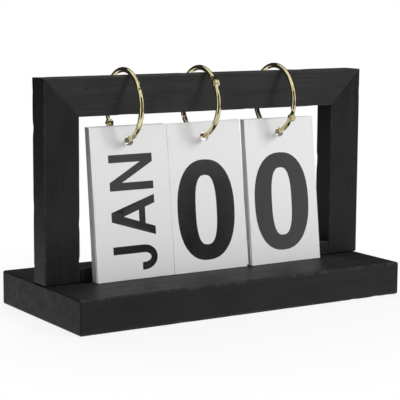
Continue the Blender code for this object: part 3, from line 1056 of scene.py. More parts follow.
@dataclass(frozen=True)
class BookRing:
    """A hinged ring of round wire, in its own axes: x along the ring's axis, y towards the hinge."""

    pack: str
    wire: float = 1.5 * MM
    bend: float = 20.29 * MM
    lap: float = 0.05 * MM
    leaf: float = 1.6 * MM
    eye: float = 2.25 * MM
    eye_bore: float = 0.90 * MM
    eye_round: float = 0.5 * MM
    eye_edge: float = 0.1 * MM
    root: float = 0.8 * MM
    neck: float = 4.2 * MM
    taper: float = 1.1 * MM
    swell: float = 0.8
    swell_reach: float = 0.55
    clasp_room: float = 2.27 * MM
    tongue: float = 2.2 * MM
    tip: float = 1.1 * MM
    tip_share: float = 0.985
    rivet: float = 0.6 * MM
    rivet_head: float = 1.45 * MM
    head_seat: float = 1.62 * MM
    head_height: float = 0.8 * MM
    head_edge: float = 0.25
    bead: float = 0.55 * MM
    bead_rise: float = 0.08 * MM
    bead_root: float = 0.3 * MM

    LEAF_STEPS = 22
    BEND_STEPS = 96
    CLASP_STEPS = 7
    DOME_STEPS = 9
    ROUND_STEPS = 6
    WIRE_SIDES = 36
    EYE_SIDES = 40
    RIVET_SIDES = 32
    BEAD_SIDES = 20

    def axes(self) -> tuple[np.ndarray, np.ndarray, float]:
        """Reads how the ring stands from its two joints.

        Returns:
            The ring's own axes as rows, its middle, and the distance from there to the hinge.
        """
        middle = joint_point(f"{self.pack}_ring_turn", "pos_m")
        hinge = joint_point(f"{self.pack}_ring_open", "pos_m") - middle
        reach = np.linalg.norm(hinge)
        x_axis = joint_point(f"{self.pack}_ring_open", "axis")
        y_axis = hinge / reach
        return np.stack([x_axis, y_axis, np.cross(x_axis, y_axis)]), middle, float(reach)

    def half_wire(self, half: Half) -> Shell:
        """One bent half from inside its hinge eye to its clasp tongue.

        A station lies at angle t from the hinge. Its circle of radius w, at angle s, gives
        (w sin s, (R + w cos s) cos t, side (R + w cos s) sin t). In the hinge leaf and the clasp tongue x is
        clipped to the half's own side. The clip fades out over a short taper past the leaf. The leaf's cos s
        part swells towards the eye along a bell curve, and w shrinks along a quarter ellipse at the tip.

        Args:
            half: Which of the two halves.

        Returns:
            A closed shell in the ring's axes.
        """
        clasp = np.pi - self.clasp_room / self.bend
        stop = np.pi + self.tongue / self.bend
        leaf = np.linspace(self.root, self.neck + self.taper, self.LEAF_STEPS) / self.bend
        whole = np.linspace(leaf[-1], clasp, self.BEND_STEPS)[1:]
        fine = stop - self.tip / self.bend * np.sin(np.linspace(np.pi / 2, 0.0, self.DOME_STEPS))
        angle = np.concatenate([leaf, whole, np.linspace(clasp, fine[0], self.CLASP_STEPS)[:-1], fine])
        fade = np.clip((angle * self.bend - self.neck) / self.taper, 0.0, 1.0)
        limit = self.lap - (self.lap + self.wire) * fade**2
        limit[len(leaf) + len(whole):] = self.lap
        from_tip = np.clip((angle - fine[0]) / (stop - fine[0]), 0.0, self.tip_share)
        width = self.wire * np.sqrt(1 - from_tip**2)
        turn = np.linspace(0.0, 2 * np.pi, self.WIRE_SIDES, endpoint=False)
        bell = np.exp(-((angle * self.bend / (self.swell_reach * self.neck)) ** 2))
        swell = self.swell * (self.eye - self.wire) * bell
        out = self.bend + (width + swell)[:, None] * np.cos(turn)
        sidelong = np.maximum(width[:, None] * np.sin(turn), limit[:, None]) * -half.value
        from_hinge = half.value * out * np.sin(angle)[:, None]
        points = np.stack([sidelong, out * np.cos(angle)[:, None], from_hinge], -1)
        faces = grid_faces(len(angle), len(turn))
        last = (len(angle) - 1) * len(turn)
        faces += [list(range(len(turn))), list(range(last, last + len(turn)))]
        return Shell(points.reshape(-1, 3), faces)

    def eye_disc(self, half: Half, reach: float) -> Shell:
        """The flat round eye: a rectangle with a rounded outer rim, turned about the hinge pin.

        Args:
            half: Which of the two halves.
            reach: Distance of the hinge from the ring's middle.

        Returns:
            A closed shell in the ring's axes, with a bore for the pin.
        """
        bend = np.linspace(0.0, np.pi / 2, self.ROUND_STEPS)
        rim = self.eye - self.eye_round
        face = self.leaf - self.eye_round
        corner = np.stack([face + self.eye_round * np.sin(bend), rim + self.eye_round * np.cos(bend)], 1)
        flat = np.array([
            (self.leaf, self.eye_bore),
            (self.lap, self.eye_bore),
            (self.lap, self.eye - self.eye_edge),
            (self.lap + self.eye_edge, self.eye),
        ])
        profile = np.concatenate([corner, flat]) * (-half.value, 1.0)
        return turned(profile, self.EYE_SIDES, True).placed(np.eye(3), np.array([0.0, reach, 0.0]))

    def snap_bead(self) -> Shell:
        """The low dome on the gate's tongue that snaps into the carrier's: a quarter ellipse turned.

        Returns:
            A closed shell in the ring's axes.
        """
        lift = np.linspace(0.0, np.pi / 2, self.ROUND_STEPS)
        dome = np.stack([self.bead_rise * np.cos(lift) - self.lap, self.bead * np.sin(lift)], 1)
        foot = -self.lap - self.bead_root
        profile = np.concatenate([dome, [[foot, self.bead], [foot, 0.0]]])
        return turned(profile, self.BEAD_SIDES, False).placed(np.eye(3), np.array([0.0, -self.bend, 0.0]))

    def rivet_shell(self, reach: float) -> Shell:
        """A pin with a domed head at each end: quarter ellipses turned about the pin's line.

        Args:
            reach: Distance of the hinge from the ring's middle.

        Returns:
            A closed shell in the ring's axes.
        """
        lift = np.linspace(0.0, np.pi / 2, self.DOME_STEPS)
        low = self.head_edge * self.head_height
        dome = np.stack([
            self.head_seat + low + (self.head_height - low) * np.cos(lift),
            self.rivet_head * np.sin(lift),
        ], 1)
        upper = np.concatenate([dome, [[self.head_seat, self.rivet_head], [self.head_seat, self.rivet]]])
        profile = np.concatenate([upper, upper[::-1] * (-1.0, 1.0)])
        return turned(profile, self.RIVET_SIDES, False).placed(np.eye(3), np.array([0.0, reach, 0.0]))

    def build(self, brass: bpy.types.Material) -> None:
        """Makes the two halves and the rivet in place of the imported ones.

        Args:
            brass: Their finish.
        """
        axes, middle, reach = self.axes()
        ring, gate = f"{self.pack}_ring", f"{self.pack}_gate"
        halves = {
            Half.CARRIER: (f"{ring}_carrier", ring, []),
            Half.GATE: (f"{ring}_gate", gate, [self.snap_bead()]),
        }
        for half, (node, body, extra) in halves.items():
            shell = Shell.joined([self.half_wire(half), self.eye_disc(half, reach), *extra])
            Piece(f"{node}_wire", body, "brass", (node,)).make(shell.placed(axes, middle), brass)
        rivet = self.rivet_shell(reach).placed(axes, middle)
        Piece(f"{ring}_rivet_domed", ring, "brass", (f"{ring}_rivet",)).make(rivet, brass)


@dataclass(frozen=True)
class Outline:
    """A flat shape in millimetres: closed strokes that may overlap, and loops cut out of them."""

    strokes: tuple[Loop, ...]
    cuts: tuple[Loop, ...] = ()

    CLEAR_OF_EDGE = 0.3
    SAME_POINT = 1e-5

    def moved(self, scale: Pair, turn: float, shift: Pair) -> "Outline":
        """Scales the outline, then turns it, then shifts it.

        Args:
            scale: How much wider and higher it gets.
            turn: The angle in radians, anticlockwise.
            shift: How far it goes to the right and up.

        Returns:
            The moved outline.
        """
        turned_axes = np.array([[math.cos(turn), math.sin(turn)], [-math.sin(turn), math.cos(turn)]])

        def move(loop: Loop) -> Loop:
            """One loop of it, moved."""
            return loop * scale @ turned_axes + shift

        return Outline(tuple(map(move, self.strokes)), tuple(map(move, self.cuts)))

    def triangles(self, step: float) -> tuple[np.ndarray, np.ndarray]:
        """Covers the strokes, less the cuts, with triangles.

        Args:
            step: Spacing of extra points, so that the shape can follow a bowed card.

        Returns:
            Points, and the three point numbers of each triangle, anticlockwise.
        """
        loops = [anticlockwise(loop) for loop in (*self.strokes, *self.cuts)]
        starts = np.cumsum([0] + [len(loop) for loop in loops])
        outlines = [list(range(first, last)) for first, last in zip(starts[:-1], starts[1:])]
        edge = np.concatenate(loops)
        low, high = edge.min(0), edge.max(0)
        across, up = np.meshgrid(*(np.arange(a + step / 2, b, step) for a, b in zip(low, high)))
        inside = np.stack([across.ravel(), up.ravel()], 1)
        gap = np.linalg.norm(inside[:, None] - edge[None], axis=-1).min(1)
        given = [Vector(point) for point in np.concatenate([edge, inside[gap > step * self.CLEAR_OF_EDGE]])]
        points, _, faces, _, _, sources = delaunay_2d_cdt(given, [], outlines, 0, self.SAME_POINT)
        ink = len(self.strokes)
        kept = [face for face, source in zip(faces, sources) if source and max(source) < ink]
        used, numbers = np.unique(np.array(kept), return_inverse=True)
        return np.array(points)[used], numbers.reshape(-1, 3)


def anticlockwise(loop: Loop) -> Loop:
    """The loop in anticlockwise order."""
    after = np.roll(loop, -1, axis=0)
    return loop if np.sum(loop[:, 0] * after[:, 1] - loop[:, 1] * after[:, 0]) > 0 else loop[::-1]


@dataclass(frozen=True)
class Lettering:
    """Plain block letters and numbers, one unit high, put together from bars and bent bands.

    A band lies between two ellipses about one middle. Its exponent squares the ellipse's shoulders.
    """

    stem: float
    beam: float

    STEPS = 40
    LEAST_STEPS = 6
    SWEPT_STEPS = 19
    OVERSHOOT = 0.012
    DIGIT_WIDTH = 0.668

    def bar(self, left: float, low: float, right: float, high: float) -> Loop:
        """An upright rectangle."""
        return np.array([(left, low), (right, low), (right, high), (left, high)])

    def arc(self, middle: Pair, radii: Pair, start: float, stop: float, power: float) -> Loop:
        """Part of a squared ellipse: c + r sign(cos t) |cos t|^(2 / power), and likewise with sin.

        Args:
            middle: The point c.
            radii: Its r across and up.
            start: The first angle in degrees.
            stop: The last one.
            power: 2 for an ellipse, and more for squarer shoulders.

        Returns:
            Points from the first angle to the last.
        """
        count = max(self.LEAST_STEPS, int(self.STEPS * abs(stop - start) / 360.0))
        turn = np.radians(np.linspace(start, stop, count + 1))
        circle = np.stack([np.cos(turn), np.sin(turn)], 1)
        return np.array(middle) + np.array(radii) * np.sign(circle) * np.abs(circle) ** (2.0 / power)

    def band(
        self,
        middle: Pair,
        radii: Pair,
        start: float = 0.0,
        stop: float = 180.0,
        power: float = 2.0,
        inner_power: float = 0.0,
    ) -> Loop:
        """A bent band, as wide as the stem at its sides and as the beam at its top.

        Args:
            middle: The middle of both ellipses.
            radii: The outer ellipse's radii.
            start: The first angle in degrees.
            stop: The last one.
            power: How square the outer ellipse's shoulders are.
            inner_power: How square the inner ones are, where that differs.

        Returns:
            The band's outline.
        """
        inner = (radii[0] - self.stem, radii[1] - self.beam)
        outside = self.arc(middle, radii, start, stop, power)
        return np.concatenate([outside, self.arc(middle, inner, stop, start, inner_power or power)])

    def ring(self, middle: Pair, radii: Pair, power: float = 2.0, inner_power: float = 0.0) -> list[Loop]:
        """A closed band as two halves."""
        halves = ((0.0, 180.0), (180.0, 360.0))
        return [self.band(middle, radii, *half, power, inner_power) for half in halves]

    def swept(self, ends: Sequence[Pair], width: float) -> Loop:
        """A stroke of one width along a cubic Bezier curve.

        Args:
            ends: The curve's four control points.
            width: The stroke's width.

        Returns:
            The stroke's outline.
        """
        share = np.linspace(0.0, 1.0, self.SWEPT_STEPS)[:, None]
        weight = [(1 - share) ** 3, 3 * share * (1 - share) ** 2, 3 * share**2 * (1 - share), share**3]
        path = sum(w * np.array(p) for w, p in zip(weight, ends))
        lead = np.gradient(path, axis=0)
        side = np.stack([-lead[:, 1], lead[:, 0]], 1) / np.linalg.norm(lead, axis=1)[:, None] * width / 2
        return np.concatenate([path + side, (path - side)[::-1]])

    def strokes(self, sign: str) -> tuple[float, list[Loop]]:
        """The width of a sign and its strokes.

        Args:
            sign: A capital letter of a month's short name, or a digit.

        Returns:
            Width and strokes, for a height of one.
        """
        s, b = self.stem, self.beam
        bar, band, ring = self.bar, self.band, self.ring
        post = bar(0.0, 0.0, s, 1.0)
        if sign in "AV":
            wide, foot, head = 0.82, 0.172, 0.094
            leg = np.array([(0.0, 0.0), (foot, 0.0), (wide / 2 + head, 1.0), (wide / 2 - head, 1.0)])
            pair = [leg, leg * (-1, 1) + (wide, 0)]
            if sign == "V":
                return wide, [loop * (1, -1) + (0, 1) for loop in pair]
            return wide, [*pair, bar(0.16, 0.225, wide - 0.16, 0.225 + b)]
        if sign == "N":
            wide = 0.72
            slope = np.array([(0.0, 1.0), (s * 1.06, 1.0), (wide, 0.0), (wide - s * 1.06, 0.0)])
            return wide, [post, post + (wide - s, 0), slope]
        if sign == "M":
            wide = 0.80
            slope = np.array([(0.0, 1.0), (0.215, 1.0), (wide / 2 + 0.072, 0.0), (wide / 2 - 0.072, 0.0)])
            return wide, [post, post + (wide - s, 0), slope, slope * (-1, 1) + (wide, 0)]
        if sign in "EFL":
            wide = {"E": 0.58, "F": 0.55, "L": 0.53}[sign]
            beams = {"E": (0.0, 0.44, 1 - b), "F": (0.42, 1 - b), "L": (0.0,)}[sign]
            return wide, [post, *(bar(0.0, low, wide - 0.04 * (low == 0.44), low + b) for low in beams)]
        if sign == "T":
            wide = 0.62
            return wide, [bar(wide / 2 - s / 2, 0.0, wide / 2 + s / 2, 1.0), bar(0.0, 1 - b, wide, 1.0)]
        if sign == "Y":
            wide = 0.69
            arm = np.array([(0.0, 1.0), (0.185, 1.0), (wide / 2 + s / 2, 0.42), (wide / 2 - s / 2, 0.40)])
            return wide, [bar(wide / 2 - s / 2, 0.0, wide / 2 + s / 2, 0.44), arm, arm * (-1, 1) + (wide, 0)]
        if sign == "J":
            wide, turn, spare = 0.51, 0.29, 0.07
            bowl = band((wide / 2, turn), (wide / 2, turn + self.OVERSHOOT), 180.0, 360.0)
            loops = [bowl, bar(wide - s, turn, wide, 1.0), bar(0.0, turn - 0.01, s, turn + 0.05)]
            return wide + spare, loops
        if sign == "U":
            wide, turn = 0.66, 0.34
            bowl = band((wide / 2, turn), (wide / 2, turn + self.OVERSHOOT), 180.0, 360.0)
            return wide, [bowl, bar(0.0, turn, s, 1.0), bar(wide - s, turn, wide, 1.0)]
        if sign == "O":
            wide = 0.76
            return wide, ring((wide / 2, 0.5), (wide / 2, 0.5 + self.OVERSHOOT), 2.15)
        if sign in "CG":
            wide = 0.73
            middle, radii = (wide / 2, 0.5), (wide / 2, 0.5 + self.OVERSHOOT)
            if sign == "C":
                return wide, [band(middle, radii, 38.0, 322.0, 2.1)]
            spur = bar(wide - s * 1.02, 0.15, wide - 0.01, 0.50)
            shelf = bar(wide / 2 + 0.03, 0.50 - b, wide - 0.01, 0.50)
            return wide, [band(middle, radii, 40.0, 318.0, 2.1), spur, shelf]
        if sign == "D":
            wide, start = 0.69, 0.28
            bowl = band((start, 0.5), (wide - start, 0.5), -90.0, 90.0, 2.2)
            return wide, [post, bar(0.0, 0.0, start, b), bar(0.0, 1 - b, start, 1.0), bowl]
        if sign in "PR":
            wide, start, low = 0.64, 0.34, 0.39
            high = (1 - low) / 2
            bowl = band((start, low + high), (wide - start, high), -90.0, 90.0, 2.2)
            loops = [post, bar(0.0, low, start, low + b), bar(0.0, 1 - b, start, 1.0), bowl]
            if sign == "R":
                loops.append(np.array([(0.25, low + 0.02), (0.45, low + 0.03), (0.69, 0.0), (0.50, 0.0)]))
                wide = 0.69
            return wide, loops
        if sign == "B":
            wide, start = 0.66, 0.32
            upper = band((start, 0.73), (wide - start - 0.03, 0.27), -90.0, 90.0, 2.2)
            lower = band((start, 0.295), (wide - start, 0.295), -90.0, 90.0, 2.2)
            beams = [bar(0.0, low, start, low + b) for low in (0.0, 0.455, 1 - b)]
            return wide, [post, *beams, upper, lower]
        if sign == "S":
            wide = 0.65
            upper = band((wide / 2, 0.735), (wide / 2 - 0.02, 0.277), 22.0, 268.0)
            lower = band((wide / 2, 0.285), (wide / 2, 0.297), -160.0, 92.0)
            return wide, [upper, lower]
        return self.digit(sign)

    def digit(self, sign: str) -> tuple[float, list[Loop]]:
        """The width of a digit and its strokes.

        Args:
            sign: The digit.

        Returns:
            Width and strokes, for a height of one.
        """
        s, b = self.stem, self.beam
        bar, band, ring = self.bar, self.band, self.ring
        wide = self.DIGIT_WIDTH
        mid = wide / 2
        if sign == "0":
            return wide, ring((mid, 0.5), (mid, 0.5), 2.32, 2.7)
        if sign == "1":
            tip = [(0.08, 0.60), (0.08, 0.775), (0.30, 0.88), (0.345, 1.0)]
            flag = np.array([*tip, (0.50, 1.0), (0.50, 0.80), (0.31, 0.73)])
            return wide, [bar(0.50 - s, 0.0, 0.50, 1.0), flag]
        if sign == "2":
            top = band((mid, 0.695), (mid - 0.005, 0.305), -28.0, 172.0)
            tail = self.swept([(0.565, 0.62), (0.50, 0.42), (0.18, 0.30), (0.115, 0.05)], s * 0.93)
            return wide, [top, tail, bar(0.01, 0.0, wide, b)]
        if sign == "3":
            upper = band((mid - 0.01, 0.735), (mid - 0.03, 0.265), -92.0, 165.0)
            lower = band((mid - 0.01, 0.290), (mid, 0.290), -168.0, 92.0)
            return wide, [upper, lower, bar(0.235, 0.452, mid, 0.452 + b * 0.82)]
        if sign == "4":
            foot = [(0.0, 0.36), (0.0, 0.25), (0.20, 0.25)]
            slope = np.array([*foot, (0.42, 0.66), (0.50, 1.0), (0.40, 1.0)])
            return wide, [bar(0.565 - s, 0.0, 0.565, 1.0), bar(0.0, 0.215, wide, 0.215 + b), slope]
        if sign == "5":
            side = np.array([(0.10, 1.0), (0.275, 1.0), (0.225, 0.49), (0.05, 0.46)])
            bowl = band((mid - 0.01, 0.325), (mid, 0.325), -166.0, 128.0)
            return wide, [bar(0.10, 1 - b, 0.60, 1.0), side, bowl]
        if sign in "69":
            bowl = ring((mid, 0.325), (mid, 0.325))
            crown = band((mid + 0.015, 0.60), (mid + 0.015, 0.40), 33.0, 180.0)
            loops = [*bowl, crown, bar(0.0, 0.32, s, 0.61)]
            return wide, loops if sign == "6" else [(wide, 1.0) - loop for loop in loops]
        if sign == "7":
            leg = self.swept([(0.53, 0.93), (0.40, 0.74), (0.26, 0.42), (0.235, 0.0)], s)
            return wide, [bar(0.015, 1 - b, 0.645, 1.0), leg]
        return wide, [*ring((mid, 0.745), (mid - 0.035, 0.255)), *ring((mid, 0.28), (mid, 0.28))]

    def word(self, text: str, gap: float) -> tuple[float, Outline]:
        """Sets signs side by side.

        Args:
            text: The signs.
            gap: The room between two of them.

        Returns:
            How long they come out, and their outline.
        """
        loops, reach = [], 0.0
        for sign in text:
            wide, strokes = self.strokes(sign)
            loops += [stroke + (reach, 0.0) for stroke in strokes]
            reach += wide + gap
        return reach - gap, Outline(tuple(loops))


@dataclass(frozen=True)
class PrintStyle:
    """The size and place of a pack's print, in millimetres on the card."""

    reading: Reading
    letters: Lettering
    height: float
    longest: float
    middle: float
    aside: float = 0.0
    gap: float = 0.112

    def outline(self, text: str) -> Outline:
        """Sets the print on the card, narrowed where it would come out too long.

        Args:
            text: What the card says.

        Returns:
            The print in millimetres from the middle of the card's top edge.
        """
        long, word = self.letters.word(text, self.gap)
        stretch = min(1.0, self.longest / (long * self.height))
        centred = word.moved((1.0, 1.0), 0.0, (-long / 2, -0.5))
        size = (self.height * stretch, self.height)
        turn = math.pi / 2 if self.reading is Reading.BOTTOM_TO_TOP else 0.0
        return centred.moved(size, turn, (self.aside, -self.middle))


@dataclass(frozen=True)
class CardPlace:
    """Where a packed card stands: the middle of its top edge, its own axes and its sizes."""

    node: str

    def measure(self) -> tuple[np.ndarray, np.ndarray, np.ndarray]:
        """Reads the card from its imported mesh.

        Returns:
            Axes as rows (across, up, out of the front), the middle of the top edge, and the width, height,
            thickness, hole drop and hole radius.
        """
        mesh = frame["nodes"][self.node].data
        flat = np.empty(len(mesh.vertices) * 3)
        mesh.vertices.foreach_get("co", flat)
        points = np.unique(np.round(flat.reshape(-1, 3), 7), axis=0)
        left, right = points[:, 0].min(), points[:, 0].max()
        at_hole = np.abs(points[:, 0] - (left + right) / 2) < (right - left) / 4
        hole, corners = points[at_hole], points[~at_hole]
        across, up = (self.lead(corners, axis) for axis in (0, 2))
        axes = np.stack([across, up, np.cross(across, up)])
        own, rim = corners @ axes.T, hole @ axes.T
        low, high = own.min(0), own.max(0)
        top = np.array([(low[0] + high[0]) / 2, high[1], (low[2] + high[2]) / 2])
        drop = high[1] - (rim[:, 1].min() + rim[:, 1].max()) / 2
        radius = np.ptp(rim[:, 1]) / 2
        return axes, top @ axes, np.array([*(high - low), drop, radius])

    @staticmethod
    def lead(corners: np.ndarray, axis: int) -> np.ndarray:
        """One of the card's own directions.

        Args:
            corners: The card's eight corners.
            axis: The frame's axis that it lies closest to.

        Returns:
            The unit direction from the four corners that lie lowest along the axis to the other four.
        """
        ordered = corners[np.argsort(corners[:, axis])]
        gap = ordered[4:].mean(0) - ordered[:4].mean(0)
        return gap / np.linalg.norm(gap)


@dataclass(frozen=True)
class CardPack:
    """The cards of one ring, each a bowed sheet with a punched hole and its own print.

    The bow and the cup are in metres, and the other lengths are millimetres on the card.
    """

    pack: str
    texts: dict[str, str]
    style: PrintStyle
    bow: float
    cup: float
    grid: float = 3.4
    ink_rise: float = 0.012
    ink_sink: float = 0.02
    rub: float = 1.3
    # Rim walls near the top edge get the full painted shade of the card's rim colour, and the other rim
    # walls a small share of it.
    soiled: float = 0.5
    clean_rim: float = 0.12
    hole_burr: float = 0.55

    EDGE_STEPS = (16, 28)
    HOLE_STEPS = 48

    def bowed(self, flat: np.ndarray, sizes: np.ndarray, bow: float) -> np.ndarray:
        """How far the sheet stands out of its plane, in metres.

        The bow grows with the square of the distance below the hole, and the cup with the square of the
        distance from the middle line. Both are zero at the hole.

        Args:
            flat: Places on the card, in metres from the middle of its top edge.
            sizes: The card's measured sizes.
            bow: How far the bottom edge stands out.

        Returns:
            A height for each place.
        """
        width, height, _, drop, _ = sizes
        below = np.clip(-flat[:, 1] - drop, 0.0, None) / (height - drop)
        aside = flat[:, 0] / (width / 2)
        return bow * below**2 + self.cup * aside**2 * below

    def plate(self, outline: Outline, low: float, high: float, place: tuple, bow: float) -> Shell:
        """A thin plate of an outline, bowed with its card.

        Args:
            outline: The flat shape, in millimetres.
            low: Height of its back over the card's middle plane, in metres.
            high: Height of its front.
            place: The card's axes, top middle and sizes.
            bow: How far the card's bottom edge stands out.

        Returns:
            A closed shell in place, rubbed near the card's edges, with painted shade on its rim walls that
            is full along the top rim.
        """
        axes, top, sizes = place
        flat, faces = outline.triangles(self.grid)
        flat = flat * MM
        lift = self.bowed(flat, sizes, bow)
        count = len(flat)
        points = np.concatenate([np.c_[flat, lift + high], np.c_[flat, lift + low]])
        sides = np.concatenate([faces[:, [0, 1]], faces[:, [1, 2]], faces[:, [2, 0]]])
        keys = sides[:, 0] * count + sides[:, 1]
        rim = sides[~np.isin(keys, sides[:, 1] * count + sides[:, 0])]
        walls = np.c_[rim[:, ::-1], rim + count]
        every = [*faces.tolist(), *(faces[:, ::-1] + count).tolist(), *walls.tolist()]
        to_ends = np.minimum(-flat[:, 1], sizes[1] + flat[:, 1])
        gap = np.minimum(sizes[0] / 2 - np.abs(flat[:, 0]), to_ends)
        rubbed = np.tile(np.exp(-gap / (self.rub * MM)), 2)
        # Painted shade on the rim walls: full along the top edge, a small share elsewhere.
        rim_shade_share = np.where(flat[rim, 1].mean(1) > -self.soiled * MM, 1.0, self.clean_rim)
        raw_cut = np.concatenate([np.zeros(2 * len(faces)), rim_shade_share])
        return Shell(points @ axes + top, every, rubbed, raw_cut)

    def sheet_outline(self, sizes: np.ndarray) -> Outline:
        """The card's rectangle with closely set edge points, and its round hole.

        Args:
            sizes: The card's measured sizes.

        Returns:
            The flat shape, in millimetres from the middle of the card's top edge.
        """
        width, height, _, drop, radius = sizes / MM
        wide_steps, tall_steps = self.EDGE_STEPS
        across = np.linspace(-width / 2, width / 2, wide_steps + 1)[:-1]
        down = np.linspace(0.0, -height, tall_steps + 1)[:-1]
        edges = [
            np.c_[across, 0 * across],
            np.c_[0 * down + width / 2, down],
            np.c_[-across, 0 * across - height],
            np.c_[0 * down - width / 2, -height - down],
        ]
        turn = np.linspace(0.0, 2 * np.pi, self.HOLE_STEPS, endpoint=False)
        radius -= self.hole_burr
        hole = np.c_[radius * np.cos(turn), radius * np.sin(turn) - drop]
        return Outline((np.concatenate(edges),), (hole,))

    def build(self, card: bpy.types.Material, ink: bpy.types.Material) -> None:
        """Makes every card of the pack and its print. The bow fades from the front card to the last.

        Args:
            card: The cards' finish.
            ink: The prints' finish.
        """
        for number, (node, text) in enumerate(self.texts.items()):
            place = CardPlace(node).measure()
            bow = self.bow * (1.0 - number / len(self.texts))
            half = place[2][2] / 2
            sheet = self.plate(self.sheet_outline(place[2]), -half, half, place, bow)
            Piece(f"{node}_sheet", node, "card", (node,)).make(sheet, card)
            front = half + self.ink_rise * MM
            print_plate = self.plate(self.style.outline(text), half - self.ink_sink * MM, front, place, bow)
            Piece(f"{node}_print", node, "card").make(print_plate, ink)


@dataclass(frozen=True)
class Flag:
    """One black screen: its first and last angle from the camera's side in degrees, and its two edges.

    An edge is a distance from the middle of the floor and a height.
    """

    start: float
    stop: float
    head: Pair
    foot: Pair = (0.55, 0.0)
    shades: bool = False


@dataclass(frozen=True)
class Lamp:
    """One soft rectangular lamp: where it stands, where it points, its two sides in metres and its watts."""

    name: str
    place: Colour
    aim: Colour
    size: Pair
    watts: float


